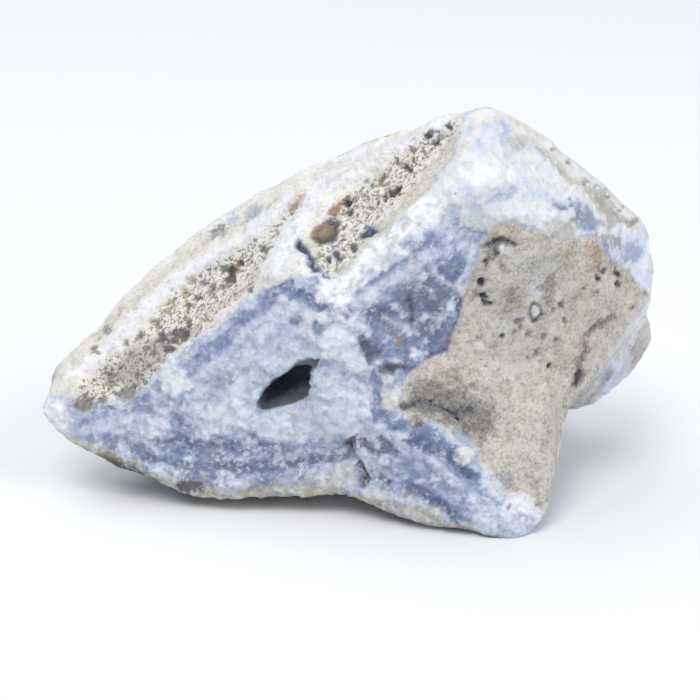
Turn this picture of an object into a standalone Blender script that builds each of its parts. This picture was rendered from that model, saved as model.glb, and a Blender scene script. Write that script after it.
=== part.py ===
"""A rough lump of blue chalcedony, broken across so that its banded filling and a small hollow show.

The lump is one solid, about 100 mm long. It stands on flat places of its underside, and its lower edge
in front hangs just clear of the floor. X runs along the lump, Y away from the broken face and Z up.
The floor is at Z = 0, and the origin is under the middle of the lump's box.
"""

import math

import bmesh
import bpy
import numpy as np
from mathutils import Matrix, Vector, noise

MM = 0.001
TINY = 1e-9

# The viewing point that the marks on the broken face are laid out from, in millimetres,
# and the scale of the 700-pixel view in which their places are given.
VIEW_TILT = math.radians(20)
VIEW_DISTANCE = 420.0
VIEW_TARGET = np.array((0.0, 0.0, 25.0))
VIEW_MIDDLE = 350.0
PIXELS_PER_MM = 6.15

# Skin of the joined blocks: size of a cell, rounds of smoothing, and triangles kept.
SKIN_CELL = 1.15 * MM
SKIN_SMOOTHING = 3
TRIANGLES = 9300

# Unevenness of the whole surface: size across and height of the lumps, in millimetres.
SWELLS = ((26.0, 1.2), (11.0, 0.75), (4.5, 0.36))
# The sides that were never split keep the lump's own bumps, so they are this much rougher.
OUTSIDE_ROUGHER = 1.1
# The marks wander from their lines by this much, over this distance, in millimetres.
WANDERS = ((7.0, 1.0), (2.6, 0.5))
WANDER_SEED = 4
# Rounds of smoothing of the directions in which the surface is moved.
EVEN_NORMALS = 6

# Corners of the blocks that fractures have left, in millimetres.
CREST = (
    (-49.8, 3.0, 16.4), (-46.8, 6.0, 19.8), (-40.4, 12.0, 25.4), (-34.6, 15.0, 33.0), (-31.2, 16.0, 37.6),
    (-27.2, 17.0, 40.1), (-21.6, 18.0, 42.9), (-15.8, 18.0, 46.1), (-5.8, 18.0, 51.2),
    (1.2, 16.0, 55.9), (8.0, 13.0, 58.9), (14.0, 8.0, 60.3), (20.1, 3.0, 64.9), (23.1, 3.0, 64.8),
)
SHOULDER = (
    (26.6, 5.0, 62.2), (31.5, 7.0, 58.6), (38.0, 9.0, 51.7), (43.0, 10.0, 47.0),
    (49.0, 11.0, 42.9), (51.2, 12.0, 36.0), (51.0, 13.0, 31.3), (50.7, 14.0, 27.9),
)
RIND_EDGE = (
    (-45.6, -1.0, 16.1), (-33.6, -3.0, 18.7), (-26.2, -5.0, 26.6), (-16.9, -6.0, 35.3),
    (-3.9, -9.0, 39.7), (7.8, -12.0, 46.7), (14.7, -12.0, 53.2), (20.1, -11.0, 55.3),
)
LOWER_EDGE = (
    (-51.3, 0.0, 14.5), (-50.1, 0.0, 11.5), (-47.3, -1.0, 10.2), (-40.3, -3.0, 9.5),
    (-34.0, -4.6, 7.4), (-30.4, -6.6, 4.0), (-26.6, -8.4, 2.1), (-22.0, -9.2, 2.0),
    (-16.4, -9.0, 2.9), (-8.2, -9.2, 3.7), (-3.1, -10.6, 3.2),
)
NOSE_TO_RIGHT = (
    (29.7, -9.0, 47.4), (38.5, -3.0, 44.0), (41.0, 1.0, 24.0), (35.5, -1.0, 13.4), (24.0, -7.0, 18.0),
)
HIDDEN_BACK = (
    (-38.0, 22.0, 20.0), (-24.0, 31.0, 27.0), (-6.0, 35.0, 38.0), (12.0, 33.0, 46.0), (30.0, 28.0, 47.0),
    (42.0, 24.0, 38.0), (46.0, 25.0, 28.0), (10.0, 38.0, 26.0), (28.0, 36.0, 24.0),
)
HIDDEN_UNDER = (
    (-24.0, 1.0, -0.9), (-14.0, 0.0, -0.9), (-32.0, 14.0, 5.0), (-17.0, 21.0, -0.8), (-8.0, 29.0, 6.0),
    (9.0, 25.0, -1.1), (12.5, 28.0, -1.1), (34.0, 14.0, 12.0),
)
BODY = CREST + SHOULDER + RIND_EDGE + LOWER_EDGE + NOSE_TO_RIGHT + HIDDEN_BACK + HIDDEN_UNDER
LEG = (
    (24.0, -20.8, -0.4), (26.6, -20.2, -0.9), (30.2, -17.2, -1.0), (31.9, -16.8, 2.2), (32.8, -15.6, 3.5),
    (34.0, -13.0, 5.1), (34.4, -8.0, 9.7), (34.5, -2.0, 11.6), (37.0, 3.0, 12.0),
    (-1.5, -11.8, 2.6), (-2.0, -10.0, 9.0),
    (8.0, -12.5, 23.0), (18.0, -8.0, 26.0), (34.0, -2.5, 28.0),
    (24.0, -9.0, -0.2), (26.0, 4.0, 6.0), (4.0, 4.0, 2.0), (30.0, 12.0, 20.0),
)
LOBE = (
    (50.5, 14.0, 28.5), (51.2, 20.0, 22.1), (50.5, 21.0, 17.2), (48.2, 21.0, 12.9), (44.8, 20.0, 10.2),
    (41.4, 18.4, 8.0), (35.4, 14.0, 7.4), (45.0, 29.0, 24.0), (42.0, 31.0, 13.0), (26.0, 33.0, 8.0),
    (20.0, 34.0, 28.0), (24.0, 8.0, 16.0), (14.0, 24.0, 4.0),
)
BLOCKS = (BODY, LEG, LOBE)

# The small hollow: its mouth in the view, and how far it runs in, rises and narrows, in millimetres.
HOLLOW_MOUTH = (
    (254, 414), (261, 395), (272, 381), (289, 371), (304, 359), (321, 358), (311, 373),
    (313, 387), (310, 399), (285, 406), (270, 410),
)
HOLLOW_FACE = -4.3
HOLLOW_START = 6.0
HOLLOW_DEPTH = 8.0
HOLLOW_RISE = 2.4
HOLLOW_END = 0.4
# Just inside its mouth the hollow is widest: how far in, how far up, and its size against the mouth.
WAIST_DEPTH = 2.8
WAIST_RISE = 0.48
WAIST_SIZE = 1.05

# The shallow arch under the lump, between its feet: middle and half sizes, in millimetres.
ARCH_MIDDLE = (-2.0, 10.0, -13.0)
ARCH_HALF_SIZES = (21.0, 15.0, 16.5)

# The block under the floor that cuts the underside flat: its length, width and height, in millimetres.
FLOOR_BLOCK = (140.0, 120.0, 20.0)

# Marks on the broken side, in pixels of the view. Each line has a width and a height in millimetres.
WHITE_SEAM = (((272, 296), (290, 250), (310, 215), (345, 185), (390, 155), (450, 118)), 2.6, 1.3)
OUTER_SEAM = (((60, 380), (110, 330), (150, 289), (226, 247), (246, 236), (300, 188)), 2.2, 0.8)
RIND_LIP = (
    ((120, 396), (161, 378), (190, 345), (244, 300), (285, 284), (345, 277), (400, 244), (463, 170)),
    1.6, 0.6,
)
DARK_CRACK = (((346, 436), (354, 460), (362, 480)), 1.3, -1.2)
STRIP_GROOVE = (((385, 418), (412, 437), (440, 452), (468, 482), (490, 512)), 1.4, -1.0)
STRIP_RIDGE = (((372, 440), (400, 462), (440, 486), (480, 512), (520, 524)), 2.6, 0.9)
LOWER_GROOVE = (((120, 446), (180, 456), (240, 460), (300, 462), (345, 452)), 1.8, -0.9)
MIDDLE_GROOVE = (((175, 432), (215, 440), (260, 432)), 1.8, -0.8)
UPPER_GROOVE = (((135, 412), (170, 392), (205, 352), (240, 318), (268, 292)), 1.8, -0.8)
HOST_CLEFT = (((404, 385), (428, 402), (452, 415), (470, 432)), 2.6, -2.6)
HOST_EDGE = (((480, 240), (468, 262), (461, 300), (456, 335), (446, 352), (410, 372)), 2.2, -1.5)
RIND_CRACK = (((306, 252), (314, 270), (330, 282)), 1.4, -1.6)
LINES = (
    WHITE_SEAM, OUTER_SEAM, RIND_LIP, DARK_CRACK, STRIP_GROOVE, STRIP_RIDGE, LOWER_GROOVE,
    MIDDLE_GROOVE, UPPER_GROOVE, HOST_CLEFT, HOST_EDGE, RIND_CRACK,
)

# Raised and sunken areas: outline in the view, width of their edge and height, in millimetres.
WHITE_PLATE = (
    ((318, 362), (345, 374), (366, 380), (371, 410), (372, 426), (336, 438), (312, 422), (316, 392)),
    1.0, 1.5,
)
CREAM_PLATE = (((380, 374), (398, 376), (403, 396), (394, 416), (382, 410)), 1.0, 1.0)
TALL_SLAB = (
    ((325, 283), (348, 286), (350, 322), (364, 352), (374, 372), (350, 374), (322, 356), (300, 330)),
    1.2, 1.1,
)
PITTED_A = (
    ((78, 372), (150, 306), (230, 240), (297, 190), (300, 214), (262, 262), (190, 320), (110, 392)),
    1.6, -0.9,
)
PITTED_B = (((306, 262), (324, 216), (400, 160), (452, 122), (460, 150), (420, 205), (330, 268)), 1.6, -0.9)
DARK_HOLLOW = (
    ((380, 372), (372, 345), (380, 310), (420, 300), (448, 320), (446, 350), (410, 366)), 2.2, -2.0,
)
AREAS = (WHITE_PLATE, CREAM_PLATE, TALL_SLAB, PITTED_A, PITTED_B, DARK_HOLLOW)

# The filling has broken in ledges that run along the walls it grew from: their width, height and
# distance from the filling's edge, in millimetres.
UPPER_WALL = (
    (60, 400), (106, 403), (143, 393), (163, 365), (187, 351), (219, 318), (244, 302), (285, 285),
    (345, 278), (370, 262), (400, 245), (430, 225), (460, 180),
)
LOWER_WALL = ((50, 432), (104, 456), (163, 484), (230, 497), (331, 494), (411, 510), (449, 526), (512, 538))
LEDGE_WIDTH = 3.4
LEDGE_HEIGHT = 0.55
LEDGE_MARGIN = 1.5
ROCK_SIDE = (
    (482, 235), (468, 262), (458, 330), (446, 352), (404, 385), (425, 410), (470, 455), (500, 495),
    (548, 515),
)
FILLING = UPPER_WALL + ROCK_SIDE + LOWER_WALL[::-1]

# The host rock's dished face and the larger pits: middle in the view, radius and height, in millimetres.
DISHES = (((548, 330), 15.0, -2.2), ((520, 385), 10.0, -1.2), ((488, 320), 9.0, -1.6))
PITS = (
    ((487, 242), 1.5, -1.2), ((484, 297), 1.3, -1.0), ((576, 377), 1.8, -1.3), ((600, 330), 1.6, -0.9),
    ((455, 414), 1.6, -1.2), ((368, 230), 1.8, -1.1), ((397, 186), 1.5, -1.2), ((345, 240), 1.5, -1.0),
    ((175, 330), 2.2, -1.3), ((322, 230), 2.4, 0.9), ((186, 318), 1.7, -1.1), ((215, 288), 1.6, -1.0),
    ((480, 186), 5.0, 1.6), ((520, 200), 3.6, 0.9),
)
# How quickly a pit or dish ends at its radius.
PIT_SHARPNESS = 1.4

# A patch of the surface this far past the side that is seen still takes the marks in part.
FACING_START = 0.02
FACING_FULL = 0.22
# A patch turned this far away from the viewing point is as rough as the outside gets.
TURNED_AWAY = 0.4

STONE_COLOUR = (0.42, 0.47, 0.58, 1.0)
STONE_ROUGHNESS = 0.55


def clear_scene():
    for thing in list(bpy.data.objects):
        bpy.data.objects.remove(thing, do_unlink=True)


def mesh_object(name, shape, group):
    """Turns the bmesh into an object of the group."""
    mesh = bpy.data.meshes.new(name)
    shape.to_mesh(mesh)
    shape.free()
    thing = bpy.data.objects.new(name, mesh)
    group.objects.link(thing)
    return thing


def block(name, corners, group):
    """The convex block that has these corners."""
    shape = bmesh.new()
    for corner in corners:
        shape.verts.new(Vector(corner) * MM)
    bmesh.ops.convex_hull(shape, input=shape.verts)
    loose = [vert for vert in shape.verts if not vert.link_faces]
    bmesh.ops.delete(shape, geom=loose, context="VERTS")
    bmesh.ops.recalc_face_normals(shape, faces=shape.faces)
    return mesh_object(name, shape, group)


def apply_modifiers(thing):
    """Gives the object the mesh that its modifiers make, and removes them."""
    graph = bpy.context.evaluated_depsgraph_get()
    made = bpy.data.meshes.new_from_object(thing.evaluated_get(graph))
    thing.modifiers.clear()
    thing.data = made


def combine(thing, other, operation):
    """Joins the other object to this one, or cuts it away."""
    step = thing.modifiers.new(operation.lower(), "BOOLEAN")
    step.operation = operation
    step.solver = "EXACT"
    step.object = other
    apply_modifiers(thing)


def view_axes():
    """The viewing point, and the directions into, up and across the view."""
    ahead = np.array((0.0, math.cos(VIEW_TILT), -math.sin(VIEW_TILT)))
    up = np.array((0.0, math.sin(VIEW_TILT), math.cos(VIEW_TILT)))
    across = np.array((1.0, 0.0, 0.0))
    return VIEW_TARGET - VIEW_DISTANCE * ahead, ahead, up, across


def place_in_view(points):
    """Where points in millimetres appear in the view, in millimetres from its middle."""
    eye, ahead, up, across = view_axes()
    offset = points - eye
    scale = VIEW_DISTANCE / (offset @ ahead)
    return np.stack(((offset @ across) * scale, (offset @ up) * scale), axis=1)


def from_pixels(spots):
    """The view's pixels as millimetres from its middle."""
    spots = np.array(spots, float)
    return np.stack((spots[:, 0] - VIEW_MIDDLE, VIEW_MIDDLE - spots[:, 1]), axis=1) / PIXELS_PER_MM


def smooth_step(low, high, value):
    share = np.clip((value - low) / (high - low), 0.0, 1.0)
    return share * share * (3.0 - 2.0 * share)


def distance_to_line(places, line):
    nearest = np.full(len(places), np.inf)
    for start, end in zip(line[:-1], line[1:]):
        run = end - start
        share = np.clip(((places - start) @ run) / (run @ run), 0.0, 1.0)
        gap = places - start - share[:, None] * run
        nearest = np.minimum(nearest, np.hypot(gap[:, 0], gap[:, 1]))
    return nearest


def depth_in_area(places, outline):
    """Distance to the outline, positive inside."""
    closed = np.vstack((outline, outline[:1]))
    inside = np.zeros(len(places), bool)
    for start, end in zip(closed[:-1], closed[1:]):
        crosses = (start[1] > places[:, 1]) != (end[1] > places[:, 1])
        rise = end[1] - start[1] or TINY
        reach = start[0] + (places[:, 1] - start[1]) * (end[0] - start[0]) / rise
        inside ^= crosses & (places[:, 0] < reach)
    return np.where(inside, 1.0, -1.0) * distance_to_line(places, closed)


def ledges(places):
    """Height of the broken ledges of the filling."""
    walls = [distance_to_line(places, from_pixels(wall)) for wall in (UPPER_WALL, LOWER_WALL)]
    step = np.mod(np.minimum(*walls) / LEDGE_WIDTH, 1.0)
    share = smooth_step(0.0, LEDGE_MARGIN, depth_in_area(places, from_pixels(FILLING)))
    return LEDGE_HEIGHT * share * (0.5 - step)


def wander(points):
    """How far the marks stray at these points, across the view."""
    stray = np.zeros((len(points), 2))
    for across, reach in WANDERS:
        found = [noise.noise_vector(Vector(point) / across) for point in points]
        stray += reach * np.array(found)[:, [0, 2]]
    return stray


def marks(places):
    """Height of the ridges, grooves, plates and pits of the broken side."""
    height = np.zeros(len(places))
    for line, width, rise in LINES:
        gap = distance_to_line(places, from_pixels(line))
        height += rise * np.exp(-((gap / (0.5 * width)) ** 2))
    for outline, edge, rise in AREAS:
        depth = depth_in_area(places, from_pixels(outline))
        height += rise * smooth_step(-0.5 * edge, 0.5 * edge, depth)
    height += ledges(places)
    for middle, radius, rise in PITS + DISHES:
        gap = places - from_pixels((middle,))
        reach = np.hypot(gap[:, 0], gap[:, 1]) / radius
        height += rise * np.exp(-PIT_SHARPNESS * reach ** 2)
    return height


def swells(points):
    """Unevenness of the whole surface."""
    height = np.zeros(len(points))
    for across, rise in SWELLS:
        seen = [noise.noise(Vector(point) / across) for point in points]
        height += rise * np.array(seen)
    return height


def even_normals(mesh):
    """The normals at the points of a mesh of quads, each averaged with its neighbours'."""
    corners = np.array([face.vertices[:] for face in mesh.polygons])
    facings = np.array([face.normal[:] for face in mesh.polygons])
    normals = np.zeros((len(mesh.vertices), 3))
    for corner in corners.T:
        np.add.at(normals, corner, facings)
    ends = np.empty(len(mesh.edges) * 2, int)
    mesh.edges.foreach_get("vertices", ends)
    ends = ends.reshape(-1, 2)
    for _ in range(EVEN_NORMALS):
        total = normals.copy()
        np.add.at(total, ends[:, 0], normals[ends[:, 1]])
        np.add.at(total, ends[:, 1], normals[ends[:, 0]])
        normals = total / np.linalg.norm(total, axis=1)[:, None]
    return normals


def roughen(thing):
    """Moves the skin's points in or out along its normals."""
    mesh = thing.data
    count = len(mesh.vertices)
    points = np.empty(count * 3)
    mesh.vertices.foreach_get("co", points)
    points = points.reshape(-1, 3) / MM
    normals = even_normals(mesh)
    eye = view_axes()[0]
    sight = eye - points
    sight /= np.linalg.norm(sight, axis=1)[:, None]
    facing = np.einsum("ij,ij->i", sight, normals)
    share = smooth_step(FACING_START, FACING_FULL, facing)
    height = swells(points) * (1.0 + OUTSIDE_ROUGHER * smooth_step(0.0, TURNED_AWAY, -facing))
    height += share * marks(place_in_view(points) + wander(points))
    points += normals * height[:, None]
    mesh.vertices.foreach_set("co", (points * MM).ravel())
    mesh.update()


def skin(thing):
    """Gives the joined blocks one even skin, with worn edges."""
    step = thing.modifiers.new("skin", "REMESH")
    step.mode = "VOXEL"
    step.voxel_size = SKIN_CELL
    apply_modifiers(thing)
    shape = bmesh.new()
    shape.from_mesh(thing.data)
    every_way = {"use_axis_x": True, "use_axis_y": True, "use_axis_z": True}
    for _ in range(SKIN_SMOOTHING):
        bmesh.ops.smooth_vert(shape, verts=shape.verts, factor=0.5, **every_way)
    shape.to_mesh(thing.data)
    shape.free()


def thin_out(thing):
    """Keeps the triangles that the shape needs."""
    triangles = sum(len(face.vertices) - 2 for face in thing.data.polygons)
    step = thing.modifiers.new("fewer", "DECIMATE")
    step.ratio = min(1.0, TRIANGLES / triangles)
    apply_modifiers(thing)


def hollow_ring(shape, depth, rise, size):
    """The hollow's mouth, carried this far in from the face, raised and narrowed."""
    eye, ahead, up, across = view_axes()
    mouth = from_pixels(HOLLOW_MOUTH)
    middle = mouth.mean(axis=0)
    reach = VIEW_DISTANCE + HOLLOW_FACE + depth
    ring = []
    for spot in mouth:
        place = middle + (spot - middle) * size + np.array((0.0, rise))
        point = eye + reach * ahead + (across * place[0] + up * place[1]) * reach / VIEW_DISTANCE
        ring.append(shape.verts.new(Vector(point) * MM))
    return [shape.edges.new((ring[index - 1], ring[index])) for index in range(len(ring))]


def hollow_cutter(group):
    """The hollow as a solid that starts in front of the face, then runs in, rises and narrows."""
    shape = bmesh.new()
    front = hollow_ring(shape, -HOLLOW_START, 0.0, 1.0)
    waist = hollow_ring(shape, WAIST_DEPTH, WAIST_RISE, WAIST_SIZE)
    back = hollow_ring(shape, HOLLOW_DEPTH, HOLLOW_RISE, HOLLOW_END)
    bmesh.ops.bridge_loops(shape, edges=front + waist)
    bmesh.ops.bridge_loops(shape, edges=waist + back)
    bmesh.ops.holes_fill(shape, edges=shape.edges, sides=0)
    bmesh.ops.triangulate(shape, faces=shape.faces)
    bmesh.ops.recalc_face_normals(shape, faces=shape.faces)
    return mesh_object("hollow", shape, group)


def arch_cutter(group):
    shape = bmesh.new()
    bmesh.ops.create_icosphere(shape, subdivisions=2, radius=1.0)
    bmesh.ops.scale(shape, vec=Vector(ARCH_HALF_SIZES) * MM, verts=shape.verts)
    bmesh.ops.translate(shape, vec=Vector(ARCH_MIDDLE) * MM, verts=shape.verts)
    return mesh_object("arch", shape, group)


def floor_cutter(group):
    """Everything under the floor, so that the underside ends flat on it."""
    shape = bmesh.new()
    bmesh.ops.create_cube(shape, size=1.0)
    bmesh.ops.scale(shape, vec=Vector(FLOOR_BLOCK) * MM, verts=shape.verts)
    bmesh.ops.translate(shape, vec=Vector((0.0, 0.0, -0.5 * FLOOR_BLOCK[2])) * MM, verts=shape.verts)
    return mesh_object("floor", shape, group)


def hide_cutter(cutter):
    cutter.hide_render = True
    cutter.display_type = "WIRE"


def set_origin(thing):
    """Moves the mesh so that the origin is under the middle of its box."""
    places = np.array([vert.co for vert in thing.data.vertices])
    low = places.min(axis=0)
    high = places.max(axis=0)
    shift = Vector((-(low[0] + high[0]) / 2, -(low[1] + high[1]) / 2, -low[2]))
    thing.data.transform(Matrix.Translation(shift))


def stone_material():
    material = bpy.data.materials.new("blue_chalcedony")
    material.use_nodes = True
    shader = material.node_tree.nodes["Principled BSDF"]
    shader.inputs["Base Color"].default_value = STONE_COLOUR
    shader.inputs["Roughness"].default_value = STONE_ROUGHNESS
    shader.inputs["Metallic"].default_value = 0.0
    return material


def main():
    clear_scene()
    noise.seed_set(WANDER_SEED)
    group = bpy.data.collections.new("rough_chalcedony")
    cutters = bpy.data.collections.new("cutters")
    bpy.context.scene.collection.children.link(group)
    bpy.context.scene.collection.children.link(cutters)

    stone, *others = [block("chalcedony_stone", corners, group) for corners in BLOCKS]
    for other in others:
        combine(stone, other, "UNION")
        bpy.data.objects.remove(other, do_unlink=True)
    arch = arch_cutter(cutters)
    hide_cutter(arch)
    combine(stone, arch, "DIFFERENCE")

    skin(stone)
    roughen(stone)
    thin_out(stone)
    for cutter in (hollow_cutter(cutters), floor_cutter(cutters)):
        hide_cutter(cutter)
        combine(stone, cutter, "DIFFERENCE")

    set_origin(stone)
    stone.data.materials.clear()
    stone.data.materials.append(stone_material())


main()
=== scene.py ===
"""The rough blue chalcedony's looks: one piece of stone, from its pitted rind to its sugary filling.

The marks of the broken side are laid out as they appear from one viewing point, in pixels of a view
700 pixels wide. The hidden sides carry the rind, seams and rock that such a lump has all round.
"""

import math
from collections import namedtuple

import bmesh
import bpy
import numpy as np
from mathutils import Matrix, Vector, noise


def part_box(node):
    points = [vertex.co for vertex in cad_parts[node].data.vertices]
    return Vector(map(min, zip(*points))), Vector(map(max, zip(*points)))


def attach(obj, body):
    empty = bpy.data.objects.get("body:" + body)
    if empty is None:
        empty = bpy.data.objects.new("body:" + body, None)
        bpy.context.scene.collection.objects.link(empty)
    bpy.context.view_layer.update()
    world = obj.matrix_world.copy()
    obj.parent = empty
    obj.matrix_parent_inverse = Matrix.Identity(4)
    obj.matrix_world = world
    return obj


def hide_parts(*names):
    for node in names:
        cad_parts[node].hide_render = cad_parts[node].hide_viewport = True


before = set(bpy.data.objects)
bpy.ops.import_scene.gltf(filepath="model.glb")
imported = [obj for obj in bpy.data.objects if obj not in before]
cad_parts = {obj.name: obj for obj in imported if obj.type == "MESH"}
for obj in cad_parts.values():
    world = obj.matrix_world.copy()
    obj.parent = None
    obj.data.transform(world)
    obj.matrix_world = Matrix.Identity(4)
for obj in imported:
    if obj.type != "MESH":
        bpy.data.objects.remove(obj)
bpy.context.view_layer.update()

MM = 0.001

# The viewing point of the broken side, in millimetres, and the scale of its view.
VIEW_TILT = math.radians(20)
VIEW_DISTANCE = 420.0
VIEW_TARGET = np.array((-0.47, -9.33, 25.0))
VIEW_MIDDLE = 350.0
PIXELS_PER_MM = 6.15
VIEW_PIXELS = 700
SENSOR_MM = 36.0

# The stone's mesh: the size of its cells, its rounds of smoothing, how squarely a cell faces the viewing
# point before it is cut finer, how often the normals are evened out, and how near points are joined.
CELL = 0.76 * MM
SMOOTHING = 7
FINE_FACING = 0.05
EVEN_NORMALS = 10
WELD = 0.001 * MM
# The mesh isn't smoothed this near the hollow's rim in front of this depth, or this near the floor, in
# millimetres.
RIM_KEPT = 1.0
FACE_SIDE = 10.0
FLOOR_KEPT = 0.4
# The sideways noise starts from this number, so that the stone comes out the same each time.
NOISE_SEED = 4
# How far along the noise the next seed starts, in lumps, and how many times finer each next octave is.
SEED_STEP = 17.3
OCTAVE_STEP = 2.1
# Numbers that scatter a cell's place into one that looks random.
SCATTER = (12.9898, 78.233, 37.719)
SCATTER_SPREAD = 43758.5453
# A surface turned this far away from the viewing point takes none, or all, of the broken side's marks.
FACING_START = 0.03
FACING_FULL = 0.20
# The pores: the way they run, how drawn out they are, the level where they start on unpitted stone, how
# far full pitting lowers it, and how much further up a pore is at its deepest.
PIT_RUN = (0.76, 0.1, 0.64)
PIT_STRETCH = 0.4
PIT_START = 2.6
PIT_SPREAD = 1.55
PIT_SLOPE = 0.55
# Each kind of pore's strength, its size in millimetres and its seed, and how much the pores darken stone,
# partly as painted shade.
PORE_KINDS = ((1.0, 2.0, 40), (0.8, 0.9, 41))
PORE_DARKENING = 0.42
# The hidden sides' noises: each one's strength, the size of its lumps in millimetres, and its seed.
PITTED_NOISES = ((1.0, 17.0, 20), (0.3, 6.0, 21))
SEAM_NOISES = ((0.3, 16.0, 22), (0.05, 4.0, 23))
PATCH_NOISES = ((1.0, 21.0, 24), (0.24, 6.0, 25))
# The levels between which pitted rock, a patch, a seam and a seam's fading begin.
PITTED_START = (0.02, 0.16)
PATCH_START = (0.26, 0.38)
SEAM_HALF = (0.06, 0.03)
SEAM_FADE = (-0.25, 0.05)
# The way across the layers of the hidden patches of chalcedony, and how close they are.
HIDDEN_LAYERS = (0.12, 0.2, 0.3)
# The way across the white seams of the hidden sides, and how far apart they are, in millimetres.
SEAM_ACROSS = (-0.54, 0.65, 0.54)
SEAM_GAP = 19.0
# A turn that keeps the hidden patches from lining up with the axes.
PATCH_TURN = ((0.36, 0.48, -0.8), (-0.8, 0.6, 0.0), (0.48, 0.64, 0.6))
# Below this height in millimetres the relief fades out, so that the feet stay flat.
FOOT_CLEAR = 1.2

# Colours as they look in plain daylight, 0 to 255.
DEEP = (112, 125, 153)
SLATE = (88, 92, 110)
DENIM = (134, 148, 177)
MID = (151, 164, 192)
HAZE = (176, 187, 211)
ICE = (208, 214, 231)
SUGAR = (228, 231, 241)
SNOW = (244, 245, 250)
CREAM = (230, 226, 215)
IVORY = (212, 208, 197)
TAN = (184, 177, 163)
CLAY = (154, 146, 136)
HOST = (196, 190, 181)
HOST_LIGHT = (216, 210, 200)
RUST = (182, 146, 112)
# Near-black in holes, pits and the dark arc's groove: partly their own dark, partly painted shade inside
# them.
HOLE_DARK_AND_SHADE = (46, 47, 60)
# The pores' dark: partly their own darker stone, partly painted shade inside them.
PORE = (112, 106, 100)
RIND_CREAM = (236, 233, 225)
CAP_WHITE = (222, 222, 223)
CAP_BLUE = (204, 210, 221)
CAP_TAN = (214, 211, 204)
WEATHERED = (176, 171, 160)
# The hollow's painted shade and light: its shaded roof, its lit floor and its lit left corner.
HOLLOW_ROOF_SHADE = (104, 104, 120)
HOLLOW_FLOOR_LIGHT = (205, 208, 220)
HOLLOW_CORNER_LIGHT = (170, 182, 208)
# How far apart the dark and the pale grains of the sugary filling and of the rock are.
SUGAR_CONTRAST = (48, 42, 28)
ROCK_CONTRAST = (60, 60, 60)
# How much of its brightness as seen is the stone's own, as the light is stronger than full white.
DAYLIGHT_SHARE = 0.88
# The skin's noises: each one's height or reach and the size of its lumps, in millimetres, and its seed.
STRAY_NOISES = ((0.42, 2.6, 1), (0.34, 1.0, 2))
FACET_NOISES = ((0.38, 3.6, 30), (0.28, 1.7, 31), (0.1, 0.9, 36))
FACET_TILT = 1.6
FACET_STEP = 0.9
# The growth layers: how thick, how long and how high they are, in millimetres.
LAYER_THICKNESS = 0.85
LAYER_RUN = 14.0
LAYER_HEIGHT = 0.22
# How wide and how high the cap's bubbly swellings are, and how deep a pore is, in millimetres.
BUBBLE_SIZE = 4.2
BUBBLE_HEIGHT = 0.45
PORE_DEPTH = 0.34
# How rough the rock, the filling and the cap are.
ROCK_ROUGH = 0.86
FILLING_SMOOTHER = 0.40
CAP_SMOOTHER = 0.34

# The material's noises: the size of their lumps in millimetres, their detail and their roughness.
SUGAR_NOISE = (1.7, 8.0, 0.68)
GRIT_NOISE = (0.6, 6.0, 0.8)
CLOUD_NOISE = (2.4, 6.0, 0.8)
WORN_NOISE = (0.9, 3.0, 0.6)
CLUSTER_NOISE = (4.0, 3.0, 0.6)
HOLE_NOISE = (0.6, 4.0, 0.65)
STAIN_NOISE = (1.5, 4.0, 0.7)
# Its crystals and glints, in millimetres across.
CRYSTAL_SIZE = 0.8
GLINT_SIZE = 0.6
# How much of the rock's grain is grit, how soft the grains' edges are, and how dark a fine hole is, partly
# as painted shade.
GRIT_SHARE = 0.6
GRAIN_EDGE = 0.38
HOLE_DARKNESS = 0.75
# The level under which a fine hole opens on unpitted stone, and how far full pitting raises it.
HOLE_START = 0.31
HOLE_SPREAD = 0.19
# How much lower than the rock's the filling's fine bumps are, and how strong and deep the bumps are.
SUGAR_BUMP = 0.6
BUMP_STRENGTH = 0.85
BUMP_DEPTH = 0.3 * MM
# The light that sinks into the stone, how far, and how much of it shines back.
SUNK_LIGHT = 0.10
SUNK_DEPTH = 1.2 * MM
SHINE = 0.35

# The floor: half its width in metres, its colour and its roughness.
FLOOR_REACH = 4.0
FLOOR_COLOUR = (0.76, 0.765, 0.77, 1.0)
FLOOR_ROUGH = 0.9
# The surroundings' light, and each light's name, place, width, power and colour, in metres and watts.
SURROUNDINGS = (0.74, 0.84, 1.0, 1.0)
SURROUNDINGS_STRENGTH = 0.58
WARM = (1.0, 0.965, 0.91)
LIGHTS = (
    ("over", (-0.50, 0.62, 1.3), 1.4, 9.6, (1.0, 0.96, 0.895)),
    ("front", (-0.30, -0.64, 1.14), 0.7, 9.2, WARM),
    ("right", (0.78, -0.44, 0.66), 0.7, 5.4, WARM),
)
LIGHTS_AIM = (0.0, 0.0, 0.02)

# The regions of the broken side.
RIND_EDGE = (
    (30, 399), (61, 394), (72, 406), (80, 413), (89, 411), (94, 403), (104, 408), (117, 403),
    (129, 400), (139, 397), (142, 387), (152, 382), (161, 368), (172, 360), (184, 352), (193, 339),
    (209, 330), (225, 322), (241, 304), (261, 290), (281, 280), (301, 275), (318, 275), (327, 283),
    (341, 273), (358, 258), (375, 240), (394, 223), (411, 204), (433, 192), (439, 173), (455, 151),
    (461, 129), (464, 112),
)
RIND_AREA = RIND_EDGE + ((470, 60), (300, 100), (120, 220), (20, 340))
HOST_AREA = (
    (477, 244), (486, 235), (500, 226), (513, 222), (538, 230), (552, 237), (566, 241), (582, 236),
    (598, 233), (601, 249), (615, 260), (627, 269), (635, 280), (649, 296), (640, 312), (624, 330),
    (614, 352), (601, 367), (593, 382), (582, 402), (574, 420), (568, 432), (570, 456), (570, 494),
    (562, 514), (535, 516), (518, 496), (498, 493), (485, 478), (483, 466), (474, 447), (460, 432),
    (437, 423), (410, 426), (399, 411), (400, 395), (408, 376), (421, 361), (446, 352), (457, 324),
    (463, 295), (470, 275), (481, 257),
)
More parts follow.
